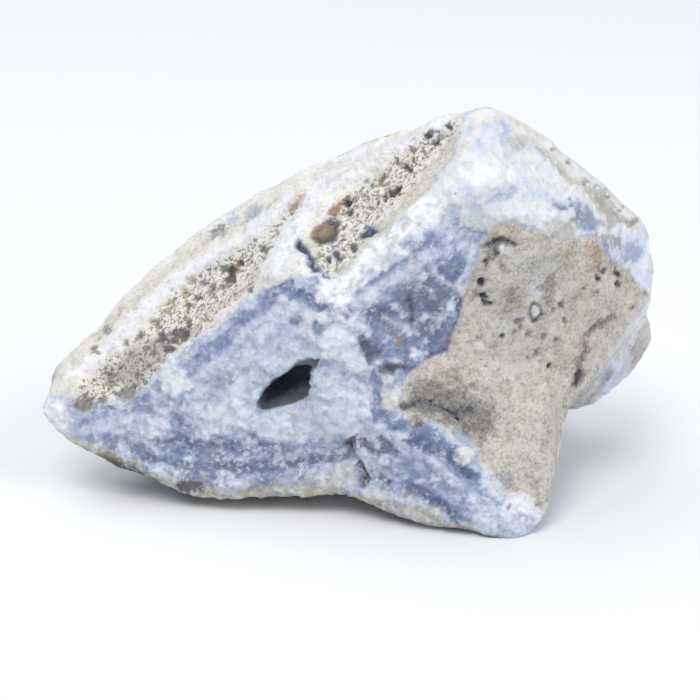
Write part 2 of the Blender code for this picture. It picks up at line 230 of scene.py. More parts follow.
CAP_AREA = (
    (466, 90), (461, 129), (455, 151), (439, 173), (433, 192), (440, 206), (462, 222), (486, 235),
    (513, 222), (538, 230), (566, 241), (598, 233), (615, 260), (649, 296), (690, 290), (690, 190),
    (560, 100), (490, 80),
)
LOBE_AREA = (
    (649, 296), (640, 312), (624, 330), (614, 352), (601, 367), (593, 382), (582, 402), (574, 420),
    (600, 440), (690, 400), (690, 290),
)
HEART_AREA = (
    (283, 292), (301, 300), (325, 290), (345, 302), (352, 322), (364, 352), (376, 370), (378, 400),
    (374, 430), (340, 440), (300, 445), (262, 438), (238, 430), (206, 420), (180, 418), (192, 402),
    (215, 380), (236, 352), (258, 326),
)
UPPER_WALL = (
    (60, 400), (106, 405), (143, 393), (163, 366), (190, 345), (219, 322), (244, 303), (285, 282),
    (345, 272), (375, 245), (405, 222), (436, 190),
)
LOWER_WALL = ((50, 432), (104, 457), (163, 485), (230, 498), (331, 495), (411, 511), (449, 527), (512, 539))
HOLLOW_MOUTH = (
    (254, 414), (261, 395), (272, 381), (289, 371), (298, 361), (304, 359), (321, 358), (318, 365),
    (311, 373), (313, 387), (310, 399), (296, 402), (285, 406), (270, 410), (261, 415),
)
HOLLOW_MIDDLE = (285, 395)

Mark = namedtuple("Mark", "kind colour strength size rise soft ragged spots")


def line(colour, strength, width, *spots, rise=0.0, soft=0.45, ragged=0.5):
    """A streak of this width in millimetres along the spots."""
    return Mark("line", colour, strength, width, rise, soft, ragged, spots)


def patch(colour, strength, *spots, rise=0.0, soft=0.5, ragged=0.6):
    """An area with this outline."""
    return Mark("patch", colour, strength, 0.0, rise, soft, ragged, spots)


def dots(colour, strength, radius, *spots, rise=0.0, soft=0.2, ragged=0.35):
    """Round marks of this radius in millimetres, one at each spot."""
    return Mark("dots", colour, strength, radius, rise, soft, ragged, spots)


FILLING_MARKS = {
    "pale heart": patch(ICE, 0.75, *HEART_AREA, soft=0.8, ragged=0.9),
    "left end": patch((187, 195, 215), 0.8, (60, 400), (100, 412), (160, 400), (170, 430), (120, 450),
        (60, 440), soft=1.2),
    "left streak": line((152, 165, 194), 0.75, 1.7, (80, 422), (110, 412), (135, 408), (160, 405),
        (180, 395), (190, 385)),
    "left pale streak": line((194, 202, 223), 0.6, 1.6, (110, 432), (150, 425), (185, 416), (220, 405)),
    "upper band": line((150, 163, 192), 0.9, 2.3, (284, 287), (262, 305), (243, 322), (226, 340),
        (205, 356), (190, 368), rise=-0.3),
    "upper pale band": line((202, 210, 227), 0.85, 1.8, (268, 318), (245, 334), (228, 352), (212, 368),
        (196, 382)),
    "second band": line((190, 199, 217), 0.7, 1.4, (258, 324), (246, 345), (232, 362), (215, 385),
        (196, 396)),
    "third band": line((164, 174, 197), 0.7, 1.5, (240, 374), (225, 382), (212, 394), (204, 402),
        rise=-0.3),
    "pale blob": patch((240, 242, 248), 0.85, (163, 366), (178, 362), (186, 375), (192, 385), (178, 398),
        (166, 392), (158, 385), rise=0.35),
    "left tip": patch((244, 244, 246), 0.92, (38, 392), (62, 398), (72, 412), (72, 425), (60, 440),
        (45, 430), (34, 410), soft=0.9),
    "lower mid band": line(DENIM, 0.85, 2.0, (96, 438), (125, 446), (150, 455), (180, 452), (230, 452),
        (280, 452), rise=-0.2),
    "lower dark band": line(DEEP, 0.9, 1.7, (150, 458), (176, 464), (215, 467), (260, 468), (300, 465),
        (330, 458), (350, 452), rise=-0.4),
    "middle dark band": line(DEEP, 0.9, 1.3, (156, 440), (180, 438), (193, 446), (215, 447), (239, 444),
        rise=-0.4),
    "middle band's tail": line(DENIM, 0.7, 1.2, (239, 444), (262, 448), (290, 446), (318, 440)),
    "dark notch": line(DEEP, 0.9, 0.8, (252, 436), (256, 442), (261, 449), rise=-0.5),
    "upper notch": line(DENIM, 0.8, 1.2, (180, 417), (172, 424), (190, 428), (206, 424), (222, 420),
        rise=-0.2),
    "sugar left of the heart": patch(SUGAR, 0.7, (193, 428), (205, 412), (235, 398), (250, 404), (246, 424),
        (225, 436), (205, 438), ragged=1.0),
    "sugar under the hollow": patch(SUGAR, 0.6, (255, 420), (300, 410), (320, 420), (330, 436), (290, 440),
        (255, 434), ragged=1.0),
    "white flecks": patch(SUGAR, 0.8, (150, 421), (160, 418), (168, 428), (160, 442), (152, 440),
        ragged=0.8),
    "bottom strip": patch((178, 177, 178), 0.7, (165, 474), (200, 471), (240, 478), (300, 478), (342, 468),
        (335, 490), (250, 492), (190, 490), ragged=1.1),
    "dark by the strip": dots(DENIM, 0.8, 1.1, (190, 478), (212, 480), (238, 474), (262, 482), (300, 474),
        ragged=0.7),
    "white slab": patch((205, 211, 227), 0.9, (313, 377), (322, 368), (345, 376), (366, 380), (368, 396),
        (370, 412), (372, 424), (352, 434), (330, 436), (318, 424), (312, 402), rise=0.5, soft=0.2,
        ragged=0.25),
    "slab's upper rim": line(MID, 0.7, 0.9, (322, 362), (334, 370), (345, 376), (360, 378), (368, 381)),
    "blue beside the slab": patch((138, 153, 186), 0.9, (369, 370), (378, 372), (384, 392), (386, 412),
        (378, 424), (373, 420), (370, 398), rise=-0.3, soft=0.2),
    "cream plate": patch((220, 218, 216), 0.85, (378, 374), (392, 377), (402, 392), (402, 408), (392, 416),
        (384, 410), (380, 392), rise=0.4),
    "tall slab": patch((222, 226, 236), 0.85, (302, 312), (325, 292), (346, 302), (352, 322), (362, 348),
        (372, 370), (352, 372), (330, 360), (312, 345), (300, 330), rise=0.4),
    "slab's left shade": patch(HAZE, 0.5, (268, 330), (290, 318), (300, 340), (290, 356), (262, 352)),
    "white finger": patch((212, 216, 231), 0.9, (280, 312), (281, 299), (290, 294), (299, 303), (300, 314),
        (290, 320), rise=0.3),
    "blue eye": dots(DENIM, 0.8, 1.0, (294, 318), (318, 328), rise=-0.2),
    "first deep patch": patch((112, 127, 162), 0.9, (281, 284), (296, 284), (310, 292), (314, 302),
        (303, 300), (290, 297), rise=-0.3),
    "second deep patch": dots((108, 123, 156), 0.85, 1.2, (320, 306), (352, 300), (348, 312), rise=-0.3,
        ragged=0.5),
    "deep belt": line((128, 142, 174), 0.8, 2.4, (283, 288), (300, 297), (322, 305), (350, 298), (375, 284),
        ragged=0.7, rise=-0.2),
    # The filling's blue below the white belt, darkened also as painted shade under the overhanging edge
    # above it.
    "shaded blue under the belt": patch((132, 145, 173), 0.9, (352, 322), (372, 305), (400, 290), (425, 272),
        (448, 256), (468, 262), (464, 300), (456, 330), (446, 350), (420, 360), (404, 376), (388, 374),
        (370, 360), (358, 342), soft=0.7, ragged=0.8),
    "deep column": patch((112, 124, 151), 0.65, (423, 280), (444, 262), (448, 300), (446, 340), (432, 354),
        (424, 330), soft=0.7, ragged=0.9),
    "deep middle": patch((116, 128, 154), 0.6, (400, 290), (416, 284), (420, 310), (408, 318), (400, 306),
        soft=0.5, ragged=0.8),
    "mid blue step": patch((150, 164, 196), 0.75, (372, 332), (392, 322), (402, 334), (398, 352),
        (380, 350), soft=0.4, ragged=0.8),
    "pale diagonal streak": line((198, 206, 225), 0.95, 1.9, (346, 307), (372, 291), (395, 279), (414, 268),
        (434, 253), rise=0.35, ragged=0.2),
    "line over the streak": line((130, 145, 178), 0.9, 0.9, (372, 284), (392, 268), (415, 252), (440, 232),
        rise=-0.3, ragged=0.2),
    "haze over the line": line((186, 196, 219), 0.7, 1.6, (392, 262), (414, 246), (436, 226), (462, 205)),
    "white belt": line((244, 246, 250), 0.97, 5.2, (332, 290), (358, 270), (382, 250), (405, 230),
        (430, 208), (455, 184), ragged=1.0, soft=0.6),
    "belt's blue": dots(HAZE, 0.5, 1.3, (428, 240), (392, 256), (450, 222), (366, 270), (410, 240),
        ragged=0.8),
    "belt's tan": dots(TAN, 0.5, 0.6, (404, 226), (418, 244), (394, 238), (444, 216), (412, 258),
        ragged=0.5),
    "upper orb": dots((138, 153, 186), 0.9, 1.35, (454, 257), rise=0.3, ragged=0.1),
    "lower orb": dots((106, 121, 156), 0.95, 1.15, (446, 277), rise=0.3, ragged=0.1),
    "white ring": line((226, 230, 240), 0.9, 0.9, (434, 272), (441, 283), (454, 286), (464, 276),
        (470, 262), (474, 248), rise=0.2),
    "orbs' left haze": patch((172, 184, 212), 0.8, (424, 250), (440, 238), (460, 240), (444, 262),
        (430, 270), soft=0.5),
    "white cream by the rock": patch((224, 224, 226), 0.9, (458, 284), (474, 280), (472, 296), (464, 300),
        (458, 296), ragged=0.5, rise=0.3),
    "white flake 1": patch(SUGAR, 0.9, (362, 296), (374, 290), (378, 302), (368, 308), rise=0.3),
    "white flake 2": patch(SUGAR, 0.9, (385, 303), (396, 300), (399, 308), (388, 311), rise=0.3),
    "white flake 3": patch(ICE, 0.9, (384, 318), (396, 318), (412, 326), (418, 334), (410, 338), (396, 332),
        rise=0.35),
    "white flake 4": dots(SUGAR, 0.95, 0.7, (425, 317), (446, 360), (414, 352), (452, 306), rise=0.3,
        ragged=0.4),
    "white flake 5": patch(SUGAR, 0.8, (408, 348), (421, 350), (424, 358), (412, 358)),
    "white rim line": line(SUGAR, 0.9, 0.7, (377, 362), (385, 359), (394, 362), (402, 368), rise=0.3),
    "white fork": patch((214, 220, 234), 0.85, (346, 308), (358, 312), (366, 322), (372, 336), (364, 340),
        (356, 330), (350, 322), ragged=0.8, rise=0.3),
    "brown streak": line((84, 90, 112), 0.9, 0.7, (411, 300), (412, 311), (413, 320), rise=-0.4,
        ragged=0.2),
    "dark gap 1": patch((104, 110, 132), 0.75, (370, 309), (386, 306), (390, 316), (380, 322), (370, 320),
        rise=-0.3, ragged=1.0),
    "dark gap 2": patch((94, 98, 116), 0.8, (360, 338), (372, 340), (383, 350), (379, 360), (369, 360),
        (360, 350), rise=-0.4, ragged=1.0),
    "dark gap 3": patch((76, 75, 86), 0.9, (374, 372), (388, 365), (403, 364), (404, 368), (396, 373),
        (384, 375), rise=-0.5, ragged=0.5),
    "dark edge by the rock": line((92, 98, 122), 0.8, 1.1, (462, 300), (456, 328), (446, 350), (426, 360),
        (410, 372), rise=-0.4),
    "orange specks": dots(RUST, 0.8, 0.45, (389, 334), (398, 342), (390, 331)),
    "dark crack": line((82, 80, 92), 0.95, 0.95, (350, 438), (352, 452), (358, 464), (366, 476), (364, 484),
        rise=-0.8, ragged=0.3),
    "crack's foot": line(SLATE, 0.85, 0.5, (364, 480), (378, 478), (390, 482), rise=-0.4),
    "dark cluster": patch((100, 104, 124), 0.7, (360, 440), (376, 438), (392, 440), (402, 448), (394, 454),
        (380, 456), (366, 452), ragged=1.0, rise=-0.5),
    "plates by the rock": patch((198, 205, 225), 0.9, (383, 432), (396, 428), (407, 434), (408, 446),
        (400, 452), (390, 444), rise=0.4, soft=0.2),
    "blue plate": patch((146, 160, 192), 0.8, (388, 418), (402, 414), (412, 424), (404, 430), (390, 428),
        rise=0.2),
    "white cluster": dots(ICE, 0.9, 0.9, (384, 462), (398, 462), (370, 466), (412, 458), ragged=0.6,
        rise=0.3),
    "deep strip band": line((92, 105, 136), 0.92, 2.2, (410, 441), (425, 448), (445, 455), (462, 468),
        (479, 480), rise=-0.3),
    "deep strip band's end": line((148, 161, 191), 0.8, 1.5, (479, 480), (500, 496), (516, 512)),
    "pale inner strip": line((150, 161, 187), 0.82, 3.4, (408, 457), (430, 464), (450, 480), (470, 497),
        (500, 516), (530, 525), soft=0.6),
    "strip's white ridge": line(SUGAR, 0.7, 0.9, (414, 452), (430, 458), (438, 466), (448, 474), rise=0.25),
    "strip's pale streaks": line((188, 197, 216), 0.7, 0.9, (418, 455), (440, 468), (462, 486), (486, 504),
        (510, 518), ragged=0.25),
    "strip's blue streaks": line((144, 157, 187), 0.75, 0.8, (432, 484), (452, 496), (474, 512), (496, 524),
        ragged=0.25, rise=-0.2),
    "strip's upper streak": line((150, 163, 192), 0.75, 0.8, (446, 462), (466, 478), (486, 494), (506, 508),
        ragged=0.25, rise=-0.2),
    "strip's thin line": line((140, 154, 186), 0.7, 0.6, (425, 470), (440, 480), (452, 490), rise=-0.2),
    "second deep patch of the strip": line((106, 117, 145), 0.9, 1.7, (408, 486), (422, 493), (437, 502),
        (448, 512), (456, 519), rise=-0.35),
    "white margin": line((222, 224, 230), 0.8, 1.8, (375, 492), (400, 500), (420, 509), (440, 520),
        (458, 530), ragged=0.8),
    "tan on the margin": dots(CLAY, 0.6, 0.5, (352, 494), (384, 488), (404, 494), (418, 506), (432, 512),
        (446, 524), ragged=0.6),
    "cream corner": patch((219, 217, 211), 0.8, (330, 470), (342, 462), (352, 470), (356, 486), (340, 490),
        (328, 484), ragged=0.8),
    "smooth foot": patch((207, 212, 228), 0.8, (470, 508), (500, 506), (530, 522), (546, 522), (536, 536),
        (500, 540), (470, 532), soft=0.9),
    "foot's shade": line((178, 188, 213), 0.7, 1.4, (500, 500), (520, 512), (540, 520)),
}
CONTACT_MARKS = {
    "cream blob": dots((222, 221, 216), 0.9, 1.6, (464, 456), rise=0.5, ragged=0.4),
    "cream by the cleft": patch((214, 214, 214), 0.8, (438, 421), (450, 424), (460, 436), (462, 446),
        (450, 442), (440, 432), ragged=0.9),
    "deep by the cleft": patch((112, 126, 160), 0.85, (410, 430), (436, 430), (452, 446), (456, 456),
        (434, 448), (414, 440)),
    "ice by the rock": patch((218, 222, 234), 0.85, (478, 478), (486, 468), (500, 476), (504, 488),
        (494, 494), (482, 488), ragged=0.9),
    "grey by the ice": patch((160, 160, 164), 0.7, (494, 470), (512, 476), (514, 490), (502, 486),
        ragged=0.7),
    "white foot": patch((234, 235, 242), 0.9, (501, 498), (515, 494), (530, 494), (536, 508), (530, 520),
        (516, 514), (506, 508), ragged=0.6),
    "foot's grey ring": dots((150, 152, 160), 0.75, 0.6, (510, 505)),
    "white toe": patch((232, 234, 240), 0.8, (530, 514), (556, 500), (552, 520), (540, 526)),
}
HOST_MARKS = {
    # Painted shade on the rock's lower left, the side of its leg turned from the light.
    "rock's shaded lower left": patch((130, 127, 124), 0.85, (404, 392), (430, 382), (460, 384), (490, 400),
        (496, 428), (478, 444), (455, 426), (420, 418), soft=1.6, ragged=1.4),
    "pale top middle": patch((198, 196, 193), 0.6, (515, 236), (545, 240), (570, 252), (560, 275),
        (530, 285), (505, 270), soft=1.8, ragged=1.4),
    "pale middle": patch((206, 203, 196), 0.7, (470, 320), (500, 310), (530, 330), (540, 360), (505, 375),
        (470, 360), soft=1.8, ragged=1.4),
    "pale lower right": patch((194, 191, 185), 0.6, (500, 430), (540, 400), (566, 390), (560, 440),
        (550, 490), (520, 480), soft=2.0, ragged=1.4),
    # Painted shade in the corner under the cap's overhanging edge.
    "shaded corner under the cap": patch((146, 143, 136), 0.8, (480, 242), (500, 234), (508, 246), (494, 258), (484, 268),
        soft=0.7, ragged=0.9),
    # Painted shading of the rock's right side, for how the light falls there, not a colour of the rock.
    "rock's right side painted shading": patch((202, 198, 191), 0.5, (575, 330), (600, 300), (616, 310), (600, 345), (585, 380),
        (570, 400), soft=1.0, ragged=1.3),
    "rust top": patch((180, 162, 140), 0.5, (556, 250), (570, 247), (572, 262), (560, 268), ragged=0.9),
    "rust top right": patch((176, 154, 130), 0.6, (586, 246), (600, 240), (604, 256), (596, 268),
        (588, 260), ragged=0.9),
    "rust by the cap": dots((184, 162, 138), 0.6, 0.8, (514, 230), (500, 240), (520, 238), ragged=0.6),
    "rust below": patch((184, 160, 134), 0.5, (580, 340), (592, 338), (588, 356), (578, 356), ragged=0.8),
    "tan by the cap": patch((196, 186, 172), 0.6, (490, 226), (512, 222), (530, 230), (520, 244),
        (500, 242), ragged=0.9),
    # The dark of the arc's groove: partly its own dark, partly painted shade inside it.
    "dark arc": line(HOLE_DARK_AND_SHADE, 0.95, 0.55, (494, 243), (500, 239), (508, 239), (514, 244), rise=-0.5,
        ragged=0.15),
    "dark arc's left": line((66, 66, 78), 0.85, 0.5, (481, 247), (488, 245), (492, 242), rise=-0.4,
        ragged=0.15),
    "white in the arc": dots((232, 233, 238), 0.95, 0.62, (503, 248), rise=0.2),
    # The dark of these three holes: partly their own dark, partly painted shade inside them.
    "dark hole": dots((74, 72, 78), 0.85, 0.55, (496, 251), (484, 262), rise=-0.3),
    "hole under the corner": dots(HOLE_DARK_AND_SHADE, 0.92, 0.6, (482, 282), (485, 297), rise=-0.6),
    "hole's tail": dots((78, 76, 84), 0.85, 0.6, (488, 302), rise=-0.4),
    "brown stains": dots((140, 134, 126), 0.6, 0.8, (476, 293), (505, 270), (512, 296), (478, 340),
        (492, 346), ragged=0.6),
    "white streak": patch((222, 223, 230), 0.7, (530, 286), (540, 282), (545, 294), (538, 300), ragged=0.6),
    "dark streak": line((140, 137, 134), 0.6, 1.1, (544, 288), (550, 278), (548, 300), (546, 312),
        ragged=0.8),
    "ring": line((70, 68, 76), 0.85, 0.42, (531, 309), (534, 304), (539, 305), (540, 313), (537, 320),
        (532, 320), (530, 314), (531, 309), rise=-0.3, ragged=0.12),
    "ring's heart": dots((226, 224, 220), 0.9, 0.5, (534, 313), (536, 309)),
    "blue fleck": patch((196, 202, 220), 0.7, (518, 318), (524, 316), (523, 328), (518, 328)),
    "cream spot": dots((226, 223, 212), 0.85, 0.75, (480, 345), (464, 338), rise=0.2),
    "dark line": line((112, 108, 104), 0.7, 0.8, (588, 334), (597, 327), (606, 321), (613, 318), rise=-0.4,
        ragged=0.5),
    "dark line's end": line((118, 112, 106), 0.7, 0.9, (579, 366), (584, 356), (587, 346), rise=-0.3,
        ragged=0.5),
    # The dark of these four marks of holes: partly their own dark, partly painted shade inside them.
    "oval hole": patch((70, 67, 72), 0.88, (572, 384), (574, 374), (580, 368), (583, 376), (579, 388),
        (574, 391), rise=-0.7, ragged=0.3),
    "small hole": dots(HOLE_DARK_AND_SHADE, 0.9, 0.36, (549, 366), (502, 337), (455, 413), (430, 400), rise=-0.5,
        ragged=0.1),
    "small marks": dots((120, 116, 110), 0.7, 0.42, (516, 331), (522, 330), (528, 334), (552, 310),
        (560, 306), (545, 336), (536, 352), (518, 322), (566, 320), (556, 338), rise=-0.3),
    "right holes": dots((60, 60, 72), 0.88, 0.5, (603, 272), (613, 271), (619, 275), (600, 279), (618, 285),
        rise=-0.5),
    "pale streaks": line((214, 211, 203), 0.6, 0.8, (646, 300), (632, 318), (618, 340), (604, 362),
        (590, 384), ragged=0.6),
    "pale streaks 2": line((212, 209, 200), 0.5, 0.6, (632, 300), (618, 320), (606, 342), (594, 366),
        (580, 392), ragged=0.6),
    "filled cleft": line(HOST, 0.0, 2.6, (404, 385), (428, 402), (452, 415), (470, 432), rise=1.3, soft=1.0,
        ragged=0.2),
    # Painted shade along the cleft's groove.
    "cleft": line((92, 92, 104), 0.7, 0.9, (403, 408), (418, 404), (436, 408), (452, 412), (470, 411),
        rise=-0.4, ragged=0.7),
    # Painted shade inside the hole in the cleft.
    "shaded hole in the cleft": dots((34, 34, 44), 0.95, 0.5, (456, 419), rise=-0.5),
    "cleft's lower lip": line((100, 100, 112), 0.7, 0.9, (404, 420), (412, 428), (426, 424)),
}
CAP_MARKS = {
    "upper haze": patch((210, 215, 227), 0.85, (478, 142), (488, 124), (504, 122), (512, 136), (506, 148),
        (490, 150), soft=0.5),
    "blue streak": line((190, 200, 223), 0.9, 0.9, (493, 120), (484, 132), (478, 144), (484, 150)),
    "blue edge": line((172, 184, 208), 0.8, 0.9, (502, 124), (508, 130), (502, 142), (505, 148),
        ragged=0.3),
    "tan smear": patch((190, 187, 181), 0.75, (506, 138), (522, 134), (530, 142), (520, 150), (508, 150),
        ragged=0.6),
    # The cap's white, brightened as a painted highlight on the lens's upper face; the next mark is its
    # painted shade.
    "lens's lit top": patch((238, 239, 243), 0.75, (458, 176), (474, 166), (496, 164), (516, 170), (520, 182),
        (500, 188), (470, 190), rise=0.6, soft=1.2),
    "lens's shade": patch((208, 213, 226), 0.8, (461, 184), (478, 192), (500, 190), (518, 184), (514, 196),
        (490, 202), (468, 198), soft=0.5, rise=-0.2),
    "blue under the lens": line((178, 188, 210), 0.8, 1.0, (488, 204), (502, 199), (516, 190), rise=-0.4),
    "blue left of the lens": line((196, 205, 226), 0.8, 0.9, (460, 190), (468, 198), (474, 206)),
    "blue spots": dots((180, 190, 212), 0.7, 1.1, (454, 214), (476, 212), (464, 232), (474, 238),
        ragged=0.8, rise=-0.2),
    "blue right of the lens": line((204, 211, 228), 0.7, 1.6, (524, 198), (540, 196), (560, 200)),
    "right haze": patch((138, 148, 170), 0.95, (552, 202), (572, 203), (594, 211), (602, 228), (586, 232),
        (566, 223), soft=0.8, ragged=0.6),
    "right mottle": patch((168, 165, 160), 0.75, (590, 186), (606, 188), (618, 204), (622, 224), (606, 234),
        (600, 214), (592, 202), soft=0.5, ragged=1.3),
    "lower mottle": patch((172, 169, 162), 0.65, (545, 222), (566, 218), (580, 228), (574, 240), (556, 238),
        ragged=1.3),
    "grey by the rock": patch((182, 178, 170), 0.7, (486, 232), (500, 220), (516, 214), (526, 226),
        (510, 234), ragged=1.0),
    "white bar": line((230, 231, 237), 0.8, 1.6, (500, 216), (520, 212), (545, 214), (570, 216), ragged=0.8,
        rise=0.3),
    "crust": line((214, 209, 194), 0.85, 1.2, (512, 117), (545, 136), (570, 156), (600, 179), (625, 201),
        (650, 230), ragged=0.5),
    "crust's line": line((168, 163, 150), 0.75, 0.6, (538, 149), (556, 164), (575, 182), (596, 196),
        (612, 212), (636, 226), ragged=0.5, rise=-0.3),
    "crust's lower line": line((196, 192, 180), 0.6, 0.9, (530, 140), (552, 158), (576, 180), (600, 196)),
    "crust's dark specks": dots((140, 136, 126), 0.7, 0.45, (552, 150), (566, 164), (585, 184), (596, 186),
        (620, 210), (634, 222), (606, 196)),
    "right patch": patch((214, 219, 235), 0.85, (604, 236), (620, 230), (650, 236), (652, 280), (644, 292),
        (632, 276), (612, 256), ragged=0.7),
    "blue in the right patch": patch((160, 172, 200), 0.8, (622, 244), (640, 240), (644, 254), (634, 266),
        (622, 258), ragged=0.9),
    "line by the right patch": line((160, 158, 156), 0.6, 0.6, (622, 232), (619, 246), (622, 258)),
    "white right edge": line((236, 237, 243), 0.8, 1.0, (650, 240), (646, 262), (640, 280), (648, 294)),
    "mottle under the crust": dots((150, 147, 142), 0.7, 0.9, (610, 262), (604, 240), (614, 244),
        ragged=0.7),
    "top's tan": patch((222, 218, 208), 0.7, (470, 118), (490, 112), (504, 116), (496, 122), (476, 124),
        ragged=0.5),
}
LOBE_MARKS = {
    "white band": line((236, 238, 244), 0.9, 1.2, (652, 300), (641, 318), (630, 340), (618, 362),
        (604, 382), (590, 404), ragged=0.3, rise=0.2),
    "tan side": patch((200, 197, 190), 0.85, (650, 316), (658, 330), (648, 366), (630, 370), (628, 352),
        (638, 330), soft=0.4),
    "dark side": patch((182, 178, 172), 0.8, (634, 346), (644, 340), (640, 362), (630, 364), soft=0.4),
    "blue side": patch((218, 227, 248), 0.9, (602, 384), (612, 366), (620, 370), (616, 388), (606, 404),
        (598, 402), soft=0.5),
    "pale rim": patch((222, 227, 239), 0.8, (620, 376), (640, 366), (648, 380), (620, 410), (596, 414),
        (606, 398), soft=0.7),
    "tan crease": line((172, 168, 163), 0.7, 0.9, (608, 372), (598, 388), (588, 402), (580, 412), rise=-0.4,
        ragged=0.4),
}
